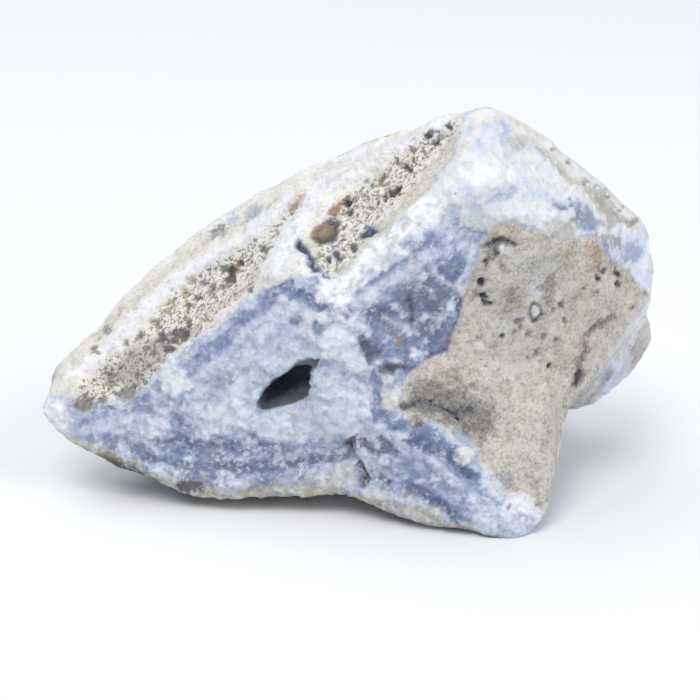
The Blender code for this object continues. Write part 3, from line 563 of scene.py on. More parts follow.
RIND_MARKS = {
    "outer strip": patch((228, 225, 217), 0.7, (40, 380), (90, 330), (160, 260), (240, 205), (300, 172),
        (300, 185), (240, 225), (180, 268), (120, 322), (70, 380), soft=0.8, ragged=0.8),
    "outer tan": line((206, 200, 184), 0.7, 0.8, (96, 340), (130, 305), (170, 268), (210, 240), (250, 218),
        (280, 200), ragged=0.7),
    "outer tan 2": line((212, 206, 190), 0.6, 0.6, (80, 352), (110, 320), (150, 282), (190, 250),
        ragged=0.7),
    "outer grey": dots((170, 178, 196), 0.7, 0.9, (232, 222), (218, 232), (256, 208), (247, 216),
        ragged=0.8),
    "outer dark": dots((150, 146, 136), 0.8, 0.7, (214, 236), (222, 228), (96, 350), (108, 330), (74, 385),
        ragged=0.7),
    "patch A": patch((244, 239, 230), 0.85, (72, 390), (85, 375), (110, 358), (130, 343), (150, 322),
        (166, 300), (186, 280), (215, 261), (240, 248), (262, 232), (285, 206), (303, 190), (306, 204),
        (290, 235), (268, 266), (250, 288), (220, 312), (192, 338), (170, 358), (150, 380), (120, 396),
        (90, 406), ragged=0.8, rise=-0.3),
    # Painted shade on patch A's lower end, whose face tilts away from the light toward the front.
    "patch A's shaded end": patch((184, 180, 173), 0.7, (94, 372), (112, 360), (135, 345), (155, 330),
        (172, 336), (165, 358), (145, 380), (118, 388), (100, 386), soft=1.0, ragged=1.2),
    "patch A's cream band": line((226, 221, 208), 0.7, 1.1, (66, 392), (90, 372), (118, 356), (140, 338),
        (160, 316), ragged=0.8),
    "patch A's lower cream": line((214, 208, 194), 0.7, 1.6, (172, 350), (196, 328), (222, 306), (246, 286),
        (262, 268), ragged=0.9),
    "patch A's tan": line((192, 184, 168), 0.6, 1.0, (200, 332), (226, 314), (244, 300), ragged=0.8),
    "patch B": patch((242, 237, 228), 0.8, (310, 262), (316, 235), (330, 212), (352, 192), (380, 172),
        (405, 150), (432, 130), (452, 118), (458, 128), (440, 150), (420, 172), (400, 196), (380, 220),
        (360, 245), (340, 265), (326, 278), ragged=0.8, rise=-0.3),
    # The rind's cream, darkened along its lip as painted shade.
    "shaded cream right of patch B": line((204, 199, 188), 0.88, 2.6, (345, 272), (368, 248), (392, 222),
        (415, 196), (438, 168), (456, 140), ragged=0.7),
    "white seam's foot": patch((222, 222, 224), 0.92, (258, 282), (268, 264), (285, 243), (300, 234),
        (306, 250), (298, 266), (288, 280), (270, 290), ragged=0.6),
    "white seam": line((240, 240, 243), 0.95, 3.0, (270, 270), (285, 243), (298, 220), (310, 202),
        rise=0.35, ragged=0.4),
    "white seam's middle": line((241, 241, 244), 0.95, 2.2, (308, 204), (320, 190), (340, 178), (367, 166),
        rise=0.3, ragged=0.4),
    "white seam's top": line((242, 242, 245), 0.9, 1.4, (360, 168), (397, 151), (430, 134), (452, 122),
        rise=0.2, ragged=0.4),
    "seam's tan side": patch((222, 216, 203), 0.7, (262, 284), (276, 278), (300, 270), (300, 280),
        (280, 284), ragged=0.8),
    "outer seam": line((240, 240, 243), 0.92, 1.7, (60, 390), (85, 366), (108, 347), (130, 325), (152, 303),
        (176, 283), (199, 266), (223, 250), (247, 236), (268, 220), (290, 200), rise=0.3, ragged=0.5),
    "top's grey streaks": line((222, 224, 232), 0.7, 0.8, (318, 176), (350, 160), (384, 146), (420, 134),
        ragged=0.6),
    "top's tan streak": line((214, 209, 196), 0.6, 0.7, (330, 182), (360, 168), (396, 152), ragged=0.6),
    "inclusion's rim": patch((74, 74, 86), 0.9, (310, 238), (316, 228), (326, 220), (337, 219), (338, 230),
        (332, 240), (318, 242), rise=-0.4, ragged=0.25),
    "inclusion": patch((178, 150, 118), 0.9, (310, 236), (317, 227), (326, 222), (333, 222), (332, 230),
        (326, 237), (316, 239), rise=0.5, ragged=0.2),
    "rust by the seam": patch((176, 142, 108), 0.85, (326, 214), (333, 204), (341, 199), (340, 208),
        (332, 214), ragged=0.4),
    "rust at patch A's top": patch((174, 150, 124), 0.7, (288, 208), (298, 196), (306, 194), (304, 206),
        (296, 212), ragged=0.8),
    "blue pit": patch((150, 163, 192), 0.85, (360, 232), (366, 226), (375, 226), (377, 232), (368, 237),
        (361, 237), ragged=0.3, rise=-0.3),
    # The dark in the blue pit: partly its own dark, partly painted shade inside it.
    "blue pit's dark": dots((66, 70, 92), 0.85, 0.5, (371, 232), (363, 235)),
    "blue grey flecks": dots((176, 184, 204), 0.7, 0.7, (338, 244), (334, 252), (308, 262), ragged=0.5),
    # The pits' dark in these two marks: partly their own dark, partly painted shade inside them.
    "black pits": dots(HOLE_DARK_AND_SHADE, 0.9, 0.52, (398, 187), (347, 202), (384, 197), rise=-0.4, ragged=0.5),
    "dark pits": dots((78, 75, 80), 0.82, 0.4, (342, 240), (353, 245), (337, 252), (327, 259), (406, 166),
        (425, 153), (429, 133), (447, 127), (391, 192), (376, 200), (358, 206), (350, 212), (416, 160),
        (436, 142), rise=-0.3, ragged=0.6),
    "rust pits": dots((158, 130, 102), 0.65, 0.45, (356, 198), (370, 206), (398, 192), (400, 165),
        (412, 148), (380, 178), (366, 182), ragged=0.4),
    "rind's dark crack": line((70, 78, 104), 0.95, 0.75, (301, 245), (307, 252), (311, 262), (314, 268),
        rise=-0.8, ragged=0.3),
    "rind's crack's tail": line((96, 108, 138), 0.9, 0.5, (316, 268), (321, 274), (326, 280), rise=-0.5,
        ragged=0.3),
    # The pits' dark in these five marks: partly their own dark, partly painted shade inside them.
    "patch A's big pits": dots(HOLE_DARK_AND_SHADE, 0.8, 0.45, (240, 263), (228, 271), (205, 281), rise=-0.4, ragged=0.6),
    "patch A's long pits": line((58, 58, 68), 0.88, 0.55, (224, 280), (233, 275), rise=-0.6, ragged=0.3),
    "patch A's middle pits": dots((96, 92, 90), 0.65, 0.5, (208, 290), (212, 284), (198, 296), (188, 306),
        (250, 256), (262, 246), (248, 290), (222, 268), (214, 296), (186, 322), rise=-0.3, ragged=0.7),
    "patch A's dark group": dots((84, 82, 88), 0.75, 0.8, (182, 331), (174, 334), (166, 346), (160, 338),
        rise=-0.4, ragged=0.8),
    "patch A's small pits": dots((122, 117, 109), 0.65, 0.45, (152, 352), (140, 336), (130, 352),
        (120, 366), (110, 372), (148, 366), (136, 376), (98, 352), (94, 346), (126, 342), (158, 324),
        (144, 346), rise=-0.3, ragged=0.4),
    "rust in patch A": dots((170, 144, 114), 0.6, 0.7, (192, 282), (184, 290), (166, 310), (172, 300),
        (238, 268), (96, 352), (112, 384), ragged=0.8),
    "grey blotch": patch((128, 125, 120), 0.85, (70, 405), (82, 398), (100, 400), (106, 392), (110, 402),
        (104, 412), (88, 414), (78, 414), ragged=0.6),
    "second blotch": patch((144, 140, 134), 0.75, (112, 392), (128, 386), (140, 390), (139, 400),
        (120, 402), ragged=0.8),
    "blue among the blotches": patch((206, 211, 226), 0.7, (100, 404), (112, 398), (128, 402), (126, 410),
        (108, 410), ragged=0.6),
    "cream end": patch((234, 230, 219), 0.8, (44, 392), (64, 382), (92, 374), (104, 384), (88, 396),
        (66, 398), ragged=0.7),
    "boundary's tan": dots((190, 183, 168), 0.7, 1.1, (150, 388), (158, 376), (184, 352), (200, 338),
        (232, 318), (248, 302), (262, 296), (146, 396), ragged=0.9),
    "boundary's white": dots((238, 239, 244), 0.75, 1.1, (150, 378), (170, 360), (190, 346), (212, 330),
        (222, 318), (236, 306), (256, 300), (330, 292), (346, 280), ragged=0.8),
}
CRUST_MARKS = {
    "lower crust": line((196, 190, 176), 0.85, 1.3, (60, 438), (90, 449), (104, 455), (125, 462),
        (140, 471), (163, 484), (190, 494), (230, 496), (289, 491), (331, 493), (378, 504), (411, 511),
        (449, 526), (479, 537), ragged=0.6),
    "crust's dark stretch": line((128, 122, 113), 0.9, 1.5, (98, 456), (112, 460), (125, 465), (140, 475),
        (160, 487), ragged=0.4),
    # Painted shade under the lower edge, where the stone turns under.
    "crust's shaded underside": line((84, 80, 78), 0.85, 0.9, (108, 463), (122, 467), (136, 474), (152, 486),
        (164, 492), ragged=0.3),
    "crust's shade": dots((92, 88, 84), 0.8, 0.8, (190, 488), (198, 490), (182, 486), ragged=0.6),
}


def view_axes():
    """The viewing point, and the directions into, up and across the view."""
    ahead = np.array((0.0, math.cos(VIEW_TILT), -math.sin(VIEW_TILT)))
    up = np.array((0.0, math.sin(VIEW_TILT), math.cos(VIEW_TILT)))
    across = np.array((1.0, 0.0, 0.0))
    return VIEW_TARGET - VIEW_DISTANCE * ahead, ahead, up, across


def place_in_view(points):
    """Where points in millimetres appear in the view, in millimetres from its middle."""
    eye, ahead, up, across = view_axes()
    offset = points - eye
    scale = VIEW_DISTANCE / (offset @ ahead)
    return np.stack(((offset @ across) * scale, (offset @ up) * scale), axis=1)


def from_pixels(spots):
    """The view's pixels as millimetres from its middle."""
    spots = np.array(spots, float)
    return np.stack((spots[:, 0] - VIEW_MIDDLE, VIEW_MIDDLE - spots[:, 1]), axis=1) / PIXELS_PER_MM


def smooth_step(low, high, value):
    share = np.clip((value - low) / (high - low), 0.0, 1.0)
    return share * share * (3.0 - 2.0 * share)


def distance_to_line(places, line_spots):
    nearest = np.full(len(places), np.inf)
    for start, end in zip(line_spots[:-1], line_spots[1:]):
        run = end - start
        share = np.clip(((places - start) @ run) / (run @ run), 0.0, 1.0)
        gap = places - start - share[:, None] * run
        nearest = np.minimum(nearest, np.hypot(gap[:, 0], gap[:, 1]))
    return nearest


def depth_in_area(places, outline):
    """Distance to the outline, positive inside."""
    closed = np.vstack((outline, outline[:1]))
    inside = np.zeros(len(places), bool)
    for start, end in zip(closed[:-1], closed[1:]):
        crosses = (start[1] > places[:, 1]) != (end[1] > places[:, 1])
        rise = end[1] - start[1] if end[1] != start[1] else 1e-9
        reach = start[0] + (places[:, 1] - start[1]) * (end[0] - start[0]) / rise
        inside ^= crosses & (places[:, 0] < reach)
    return np.where(inside, 1.0, -1.0) * distance_to_line(places, closed)


def summed(make, points, noises):
    """Noises of one kind, each times its strength, added up."""
    return sum(strength * make(points, across, seed) for strength, across, seed in noises)


def in_lumps(points, across, seed):
    """The points measured in lumps of this size in millimetres, moved along for each seed."""
    return (points / across + seed * SEED_STEP).tolist()


def grain(points, across, seed):
    """Soft noise with lumps of this size in millimetres, from about -1 to 1."""
    return np.array([noise.noise(spot) for spot in in_lumps(points, across, seed)])


def rough_grain(points, across, seed, octaves=4, fading=0.9):
    """Noise with finer and finer lumps on lumps of this size."""
    spots = in_lumps(points, across, seed)
    return np.array([noise.fractal(spot, fading, OCTAVE_STEP, octaves) for spot in spots])


def stray(points, across, seed):
    """Soft noise as sideways moves across the view."""
    moves = [noise.noise_vector(spot) for spot in in_lumps(points, across, seed)]
    return np.array(moves)[:, [0, 2]]


def cells(points, across, seed):
    """The distance to the nearest cell's middle, in cells, that middle, and each point in cells."""
    spots = in_lumps(points, across, seed)
    found = [noise.voronoi(spot) for spot in spots]
    near = np.array([item[0][0] for item in found])
    middles = np.array([tuple(item[1][0]) for item in found])
    return near, middles, np.array(spots)


def lot(middles, turn):
    """A number from 0 to 1 that is the same all over a cell."""
    mixed = np.sin(middles @ np.array(SCATTER) + turn) * SCATTER_SPREAD
    return mixed - np.floor(mixed)


def facets(points, across, seed):
    """Broken crystal faces: each cell is a small plane with its own tilt and height, from about -1 to 1."""
    near, middles, spots = cells(points, across, seed)
    tilt = np.stack([lot(middles, turn) - 0.5 for turn in (1.0, 2.0, 3.0)], axis=1)
    level = lot(middles, 4.0) - 0.5
    return FACET_TILT * np.einsum("ij,ij->i", tilt, spots - middles) + FACET_STEP * level


def pits(points, across, share, seed):
    """Open irregular pores, more of them where the share is high: 1 at a pore's bottom and 0 outside."""
    along = np.array(PIT_RUN) / np.linalg.norm(PIT_RUN)
    drawn_out = points - PIT_STRETCH * np.outer(points @ along, along)
    level = rough_grain(drawn_out, across, seed, octaves=5, fading=0.6)
    level /= level.std()
    start = PIT_START - PIT_SPREAD * share
    return smooth_step(start, start + PIT_SLOPE, level)


def tone(colour):
    """A colour seen in daylight as linear values."""
    share = np.clip(np.array(colour, float) / 255.0, 0.0, 1.0)
    return np.where(share <= 0.04045, share / 12.92, ((share + 0.055) / 1.055) ** 2.4)


def blend(under, over, share):
    """Lays one colour over another where its share is high."""
    return under + (np.asarray(over, float) - under) * np.asarray(share)[:, None]


def coat(surface, colour):
    """The same colour at each of the surface's points."""
    return np.tile(np.array(colour, float), (len(surface.points), 1))


def coverage(mark, places, edge):
    """How far a mark covers each place, from 0 to 1."""
    spots = from_pixels(mark.spots)
    reach = mark.size + mark.soft + 2.0 * mark.ragged
    near = np.all((places > spots.min(axis=0) - reach) & (places < spots.max(axis=0) + reach), axis=1)
    close = places[near]
    if mark.kind == "patch":
        depth = depth_in_area(close, spots)
    elif mark.kind == "line":
        depth = 0.5 * mark.size - distance_to_line(close, spots)
    else:
        gaps = [np.hypot(*(close - spot).T) for spot in spots]
        depth = mark.size - np.min(gaps, axis=0)
    share = np.zeros(len(places))
    share[near] = smooth_step(-mark.soft, mark.soft, depth + mark.ragged * edge[near])
    return share


class Surface:
    """The stone's points in millimetres, where each is seen, and the broken side's zones on them."""

    def __init__(self, points, normals):
        self.points = points
        self.found = {}
        self.seen = place_in_view(points)
        self.places = self.seen + summed(stray, points, STRAY_NOISES)
        self.edge = rough_grain(points, 1.9, 3, octaves=4, fading=0.45)
        sight = view_axes()[0] - points
        sight /= np.linalg.norm(sight, axis=1)[:, None]
        self.facing = np.einsum("ij,ij->i", sight, normals)
        self.front = smooth_step(FACING_START, FACING_FULL, self.facing + 0.05 * self.edge)
        self.rind = self.area(RIND_AREA, 0.5)
        self.host = self.area(HOST_AREA, 0.45) * (1.0 - self.rind)
        self.cap = self.area(CAP_AREA, 0.7) * (1.0 - self.rind) * (1.0 - self.host)
        self.lobe = self.area(LOBE_AREA, 0.4) * (1.0 - self.host) * (1.0 - self.cap)
        self.filling = (1.0 - self.rind) * (1.0 - self.host) * (1.0 - self.cap) * (1.0 - self.lobe)
        self.hollow = smooth_step(-0.08, 0.12, depth_in_area(self.seen, from_pixels(HOLLOW_MOUTH)))

    def area(self, outline, ragged):
        depth = depth_in_area(self.places, from_pixels(outline))
        return smooth_step(-0.3, 0.3, depth + ragged * self.edge)

    def covers(self, marks):
        """Each mark with how far it covers the points."""
        for name, mark in marks.items():
            if name not in self.found:
                self.found[name] = coverage(mark, self.places, self.edge).astype(np.float32)
            yield mark, self.found[name]


def wall_distance(places):
    """Distance to the nearer wall that the filling grew from."""
    gaps = [distance_to_line(places, from_pixels(wall)) for wall in (UPPER_WALL, LOWER_WALL)]
    return np.minimum(*gaps)


def layers(surface):
    """The filling's thin growth layers, which run along its walls, from about -1 to 1."""
    depth = wall_distance(surface.places)
    along, upward = surface.points[:, 0] / LAYER_RUN, surface.points[:, 2] / LAYER_RUN
    spots = np.stack((depth / LAYER_THICKNESS, along, upward), axis=1)
    return rough_grain(spots, 1.0, 5, octaves=3)


def marks_of(surface):
    """Every set of marks with the zone that holds it."""
    return (
        (FILLING_MARKS, surface.filling),
        (CONTACT_MARKS, 1.0 - surface.rind),
        (HOST_MARKS, surface.host),
        (CAP_MARKS, surface.cap),
        (LOBE_MARKS, surface.lobe),
        (RIND_MARKS, surface.rind),
        (CRUST_MARKS, np.ones(len(surface.points))),
    )


def paint_filling(surface):
    """Blue and white chalcedony: layers along the walls, broken up by sugary white."""
    colour = coat(surface, HAZE)
    band = layers(surface)
    colour = blend(colour, DENIM, 0.6 * smooth_step(0.05, 0.5, band))
    colour = blend(colour, ICE, 0.7 * smooth_step(0.05, 0.5, -band))
    return colour


def paint_flecks(surface, colour):
    """Ragged sugary white and open blue across the filling."""
    mottle = rough_grain(surface.points, 3.6, 7, octaves=5, fading=0.45)
    mottle /= mottle.std()
    colour = blend(colour, SUGAR, 0.6 * surface.filling * smooth_step(0.9, 1.5, mottle))
    return blend(colour, MID, 0.3 * surface.filling * smooth_step(1.0, 1.8, -mottle))


def paint_rock(surface):
    """Host rock: warm grey with darker and paler clouds."""
    colour = coat(surface, HOST)
    cloud = rough_grain(surface.points, 5.0, 9)
    speckle = rough_grain(surface.points, 1.2, 10)
    colour = blend(colour, HOST_LIGHT, 0.6 * smooth_step(0.0, 0.6, cloud))
    colour = blend(colour, CLAY, 0.4 * smooth_step(0.1, 0.7, -cloud))
    colour = blend(colour, CLAY, 0.4 * smooth_step(0.15, 0.7, speckle))
    return blend(colour, CREAM, 0.3 * smooth_step(0.15, 0.7, -speckle))


def paint_rind(surface):
    """Rind: cream, with tan clouds."""
    colour = coat(surface, RIND_CREAM)
    cloud = rough_grain(surface.points, 3.2, 11)
    colour = blend(colour, SNOW, 0.7 * smooth_step(0.0, 0.5, cloud))
    return blend(colour, IVORY, 0.6 * smooth_step(0.1, 0.6, -cloud))


def paint_cap(surface):
    """Cap: white chalcedony with faint blue depths."""
    colour = coat(surface, CAP_WHITE)
    cloud = rough_grain(surface.points, 3.0, 12, octaves=5)
    colour = blend(colour, CAP_BLUE, 0.7 * smooth_step(0.08, 0.6, cloud))
    return blend(colour, CAP_TAN, 0.35 * smooth_step(0.3, 0.65, -cloud))


def paint_hollow_shade_and_light(surface, colour):
    """Painted shade and light in the hollow: its roof painted dark as shade, its floor and left corner
    painted paler as lit from above.
    """
    reach, height = (surface.seen - from_pixels((HOLLOW_MIDDLE,))).T
    dim = smooth_step(1.2, -0.8, height - 0.45 * reach + 0.4 * surface.edge)
    inside = blend(coat(surface, HOLLOW_ROOF_SHADE), HOLLOW_FLOOR_LIGHT, dim)
    inside = blend(inside, HOLLOW_CORNER_LIGHT, smooth_step(-2.6, -4.0, reach))
    return blend(colour, inside, surface.hollow)


def paint_seen_side(surface):
    """The broken side's colours, 0 to 255."""
    colour = paint_filling(surface)
    white = paint_cap(surface)
    colour = blend(colour, white, surface.cap)
    colour = blend(colour, white, surface.lobe)
    colour = blend(colour, paint_rock(surface), surface.host)
    colour = blend(colour, paint_rind(surface), surface.rind)
    for marks, zone in marks_of(surface):
        for mark, share in surface.covers(marks):
            colour = blend(colour, mark.colour, mark.strength * share * zone)
    return paint_hollow_shade_and_light(surface, paint_flecks(surface, colour))


def paint_crust(surface, colour):
    """The thin crust along the lower edge, which goes on under it."""
    zone = smooth_step(-0.6, -0.1, surface.facing)
    for mark, share in surface.covers(CRUST_MARKS):
        colour = blend(colour, mark.colour, mark.strength * share * zone)
    return colour


def hidden_zones(surface):
    """How far the sides that the viewing point doesn't see are pitted rock, seam or open filling."""
    points = surface.points
    pitted = smooth_step(*PITTED_START, summed(grain, points, PITTED_NOISES) + 0.08 * surface.edge)
    order = points @ np.array(SEAM_ACROSS) / SEAM_GAP + summed(grain, points, SEAM_NOISES)
    off_seam = np.abs(order - np.round(order)) + 0.02 * surface.edge
    lasting = smooth_step(*SEAM_FADE, grain(points, 24.0, 29))
    seam = lasting * smooth_step(*SEAM_HALF, off_seam)
    turned = points @ np.array(PATCH_TURN)
    window = smooth_step(*PATCH_START, summed(grain, turned, PATCH_NOISES) + 0.2 * surface.edge)
    return pitted, seam, window


def paint_hidden_side(surface):
    """Weathered rind with pitted rock, white seams, rust and open patches of banded chalcedony."""
    pitted, seam, window = hidden_zones(surface)
    colour = paint_rind(surface)
    rock = 0.5 * (paint_rock(surface) + coat(surface, WEATHERED))
    colour = blend(colour, rock, 0.85 * pitted)
    rust = smooth_step(0.34, 0.5, rough_grain(surface.points, 6.5, 26))
    colour = blend(colour, RUST, 0.55 * rust * pitted)
    run = surface.points @ np.array(HIDDEN_LAYERS) + 1.6 * grain(surface.points, 9.0, 27)
    bands = rough_grain(run[:, None] * np.ones(3), 1.0, 28, octaves=3)
    open_stone = blend(paint_filling(surface), DENIM, 0.55 * smooth_step(0.0, 0.5, bands))
    open_stone = blend(open_stone, SUGAR, 0.7 * smooth_step(0.0, 0.5, -bands))
    colour = blend(colour, open_stone, window)
    return blend(colour, SNOW, 0.85 * seam * (1.0 - window))


def rind_cover(surface, names):
    """How far each of the rind's marks of these names covers each point."""
    return [coverage(RIND_MARKS[name], surface.places, surface.edge) for name in names]


def pore_share(surface):
    """How pitted the surface is: most in the rind's two pitted stretches and on the hidden rock."""
    first, second = rind_cover(surface, ("patch A", "patch B"))
    seams = sum(rind_cover(surface, ("white seam", "outer seam")))
    seen = surface.rind * (0.06 + 0.72 * first + 0.75 * second) + 0.16 * surface.host
    seen *= 1.0 - np.clip(seams, 0.0, 1.0)
    pitted, vein, window = hidden_zones(surface)
    hidden = (0.12 + 0.5 * pitted) * (1.0 - window) * (1.0 - vein)
    return hidden + (seen - hidden) * surface.front


def relief(surface, pores):
    """How far each point of the skin moves out, in millimetres."""
    points = surface.points
    blue = surface.filling * surface.front
    white = surface.cap * surface.front
    rocky = 1.0 - blue - white
    height = blue * summed(facets, points, FACET_NOISES)
    height += blue * LAYER_HEIGHT * layers(surface)
    bubbles = 0.55 - cells(points, BUBBLE_SIZE, 32)[0]
    height += white * (BUBBLE_HEIGHT * bubbles + 0.16 * rough_grain(points, 1.8, 33))
    height += rocky * 0.24 * rough_grain(points, 3.0, 34)
    height += rocky * 0.12 * rough_grain(points, 1.2, 35, fading=0.5)
    height -= PORE_DEPTH * pores
    for marks, zone in marks_of(surface):
        for mark, share in surface.covers(marks):
            if mark.rise:
                height += mark.rise * share * zone * surface.front
    height *= 1.0 - surface.hollow * surface.front
    return height * smooth_step(0.0, FOOT_CLEAR, points[:, 2])


def pale_grains(colour, rocky):
    """How much of the surface its pale grains take up, from its colour."""
    return np.clip(smooth_step(110.0, 245.0, colour.mean(axis=1)), 0.12 + 0.26 * rocky, 0.88)


def two_tones(surface, colour, rocky, white):
    """The colours of the dark and of the pale grains that make up each colour, and the pale ones' share."""
    pale = pale_grains(colour, rocky)
    contrast = blend(coat(surface, SUGAR_CONTRAST), ROCK_CONTRAST, rocky)
    contrast *= ((1.0 - 0.6 * surface.hollow) * (1.0 - 0.45 * white))[:, None]
    low = colour - contrast * pale[:, None]
    high = colour + contrast * (1.0 - pale)[:, None]
    return low, high, pale


def read_points(mesh):
    points = np.empty(len(mesh.vertices) * 3)
    mesh.vertices.foreach_get("co", points)
    return points.reshape(-1, 3) / MM


def even_normals(mesh):
    """The vertex normals, each averaged with its neighbours'."""
    normals = np.empty(len(mesh.vertices) * 3)
    mesh.vertices.foreach_get("normal", normals)
    normals = normals.reshape(-1, 3)
    ends = np.empty(len(mesh.edges) * 2, int)
    mesh.edges.foreach_get("vertices", ends)
    ends = ends.reshape(-1, 2)
    for _ in range(EVEN_NORMALS):
        total = normals.copy()
        for axis in range(3):
            total[:, axis] += np.bincount(ends[:, 0], normals[ends[:, 1], axis], len(normals))
            total[:, axis] += np.bincount(ends[:, 1], normals[ends[:, 0], axis], len(normals))
        normals = total / np.linalg.norm(total, axis=1)[:, None]
    return normals


def merged_copy(node):
    """The solid's mesh with its loose triangles joined up, as an object of its own."""
    shape = bmesh.new()
    shape.from_mesh(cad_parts[node].data)
    bmesh.ops.remove_doubles(shape, verts=shape.verts, dist=WELD)
    mesh = bpy.data.meshes.new("chalcedony")
    shape.to_mesh(mesh)
    shape.free()
    stone = bpy.data.objects.new("chalcedony", mesh)
    bpy.context.scene.collection.objects.link(stone)
    return stone


def apply_modifiers(thing):
    """Gives the object the mesh that its modifiers make, and removes them."""
    graph = bpy.context.evaluated_depsgraph_get()
    made = bpy.data.meshes.new_from_object(thing.evaluated_get(graph))
    thing.modifiers.clear()
    thing.data = made


def seen_edges(shape):
    """The edges of the faces that are seen from the viewing point, in their order."""
    eye = Vector(view_axes()[0]) * MM
    seen = set()
    for face in shape.faces:
        sight = (eye - face.calc_center_median()).normalized()
        if sight.dot(face.normal) > FINE_FACING:
            seen.update(face.edges)
    return sorted(seen, key=lambda edge: edge.index)


def even_skin(stone):
    """One even skin of quads, smoothed except at the hollow's rim, and finer on the side that is seen."""
    step = stone.modifiers.new("skin", "REMESH")
    step.mode = "VOXEL"
    step.voxel_size = CELL
    apply_modifiers(stone)
    points = read_points(stone.data)
    rim = np.abs(depth_in_area(place_in_view(points), from_pixels(HOLLOW_MOUTH)))
    front = points[:, 1] < FACE_SIDE
    soft = ~((rim < RIM_KEPT) & front) & (points[:, 2] > FLOOR_KEPT)
    shape = bmesh.new()
    shape.from_mesh(stone.data)
    shape.verts.ensure_lookup_table()
    moving = [shape.verts[index] for index in np.flatnonzero(soft)]
    axes = {"use_axis_x": True, "use_axis_y": True, "use_axis_z": True}
    for _ in range(SMOOTHING):
        bmesh.ops.smooth_vert(shape, verts=moving, factor=0.5, **axes)
    shape.normal_update()
    bmesh.ops.subdivide_edges(shape, edges=seen_edges(shape), cuts=1, use_grid_fill=True)
    shape.to_mesh(stone.data)
    shape.free()


def write_points(mesh, points):
    low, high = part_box("chalcedony_stone")
    kept = np.clip(points * MM, np.array(low), np.array(high))
    mesh.vertices.foreach_set("co", kept.ravel())
    mesh.update()


def write_colours(mesh, name, colours, fourth):
    layer = mesh.attributes.new(name, "FLOAT_COLOR", "POINT")
    values = np.column_stack((colours, fourth)).astype(np.float32)
    layer.data.foreach_set("color", values.ravel())


def finish_surface(stone):
    """Moves the skin's points and gives them their colours and finishes."""
    mesh = stone.data
    points = read_points(mesh)
    normals = even_normals(mesh)
    surface = Surface(points, normals)
    share = pore_share(surface)
    kinds = [strength * pits(points, size, share, seed) for strength, size, seed in PORE_KINDS]
    pores = np.max(kinds, axis=0)
    colour = blend(paint_hidden_side(surface), paint_seen_side(surface), surface.front)
    colour = paint_crust(surface, colour)
    # Darkens the pores: partly their own darker stone, partly painted shade inside them.
    colour = blend(colour, PORE, PORE_DARKENING * pores * (1.0 - surface.filling * surface.front))
    write_points(mesh, points + normals * relief(surface, pores)[:, None])
    blue = surface.filling * surface.front * (1.0 - surface.hollow)
    white = surface.cap * surface.front
    rocky = np.clip(1.0 - blue - 0.85 * white, 0.0, 1.0)
    rough = ROCK_ROUGH - FILLING_SMOOTHER * blue - CAP_SMOOTHER * white
    low, high, pale = two_tones(surface, colour, rocky, white)
    write_colours(mesh, "dark_grains", tone(low) * DAYLIGHT_SHARE, pale)
    write_colours(mesh, "pale_grains", tone(high) * DAYLIGHT_SHARE, pale)
    write_colours(mesh, "finish", np.column_stack((rocky, rough, share)), pale)


class Nodes:
    """Short ways to add and join a material's nodes."""

    def __init__(self, material):
        material.use_nodes = True
        self.tree = material.node_tree
        self.shader = self.tree.nodes["Principled BSDF"]
        self.place = self.add("ShaderNodeTexCoord").outputs["Object"]

    def add(self, kind, **settings):
        node = self.tree.nodes.new(kind)
        for name, value in settings.items():
            setattr(node, name, value)
        return node

    def join(self, output, target):
        self.tree.links.new(output, target)

    def finish(self, name, value):
        """Joins an output to the shader's socket of this name, or sets the number there."""
        socket = self.shader.inputs[name]
        if isinstance(value, float):
            socket.default_value = value
        else:
            self.join(value, socket)

    def math(self, operation, first, second=0.0, third=0.0):
        node = self.add("ShaderNodeMath", operation=operation)
        for socket, value in zip(node.inputs, (first, second, third)):
            if isinstance(value, float):
                socket.default_value = value
            else:
                self.join(value, socket)
        return node.outputs["Value"]

    def spread(self, value, low, high, new_low=0.0, new_high=1.0):
        """Carries a value from one range to another and stops at its ends."""
        node = self.add("ShaderNodeMapRange")
        self.join(value, node.inputs["Value"])
        ends = {"From Min": low, "From Max": high, "To Min": new_low, "To Max": new_high}
        for name, number in ends.items():
            node.inputs[name].default_value = number
        return node.outputs["Result"]

    def noise(self, across, detail, roughness):
        """Noise with lumps of this size in millimetres."""
        node = self.add("ShaderNodeTexNoise")
        node.inputs["Scale"].default_value = 1.0 / (across * MM)
        node.inputs["Detail"].default_value = detail
        node.inputs["Roughness"].default_value = roughness
        self.join(self.place, node.inputs["Vector"])
        return node.outputs["Fac"]

    def crystals(self, across, output="Distance"):
        """Cells of this size in millimetres."""
        node = self.add("ShaderNodeTexVoronoi")
        node.inputs["Scale"].default_value = 1.0 / (across * MM)
        self.join(self.place, node.inputs["Vector"])
        return node.outputs[output]

    def mix(self, share, first, second):
        node = self.add("ShaderNodeMix", data_type="FLOAT")
        for socket, value in zip((node.inputs[0], node.inputs[2], node.inputs[3]), (share, first, second)):
            self.join(value, socket)
        return node.outputs[0]

    def lay_over(self, share, under, over):
        """Lays one colour over another where its share is high."""
        node = self.add("ShaderNodeMix", data_type="RGBA")
        for socket, value in zip((node.inputs[0], node.inputs[6], node.inputs[7]), (share, under, over)):
            self.join(value, socket)
        return node.outputs[2]

    def plain(self, colour):
        node = self.add("ShaderNodeRGB")
        node.outputs[0].default_value = (*colour, 1.0)
        return node.outputs[0]


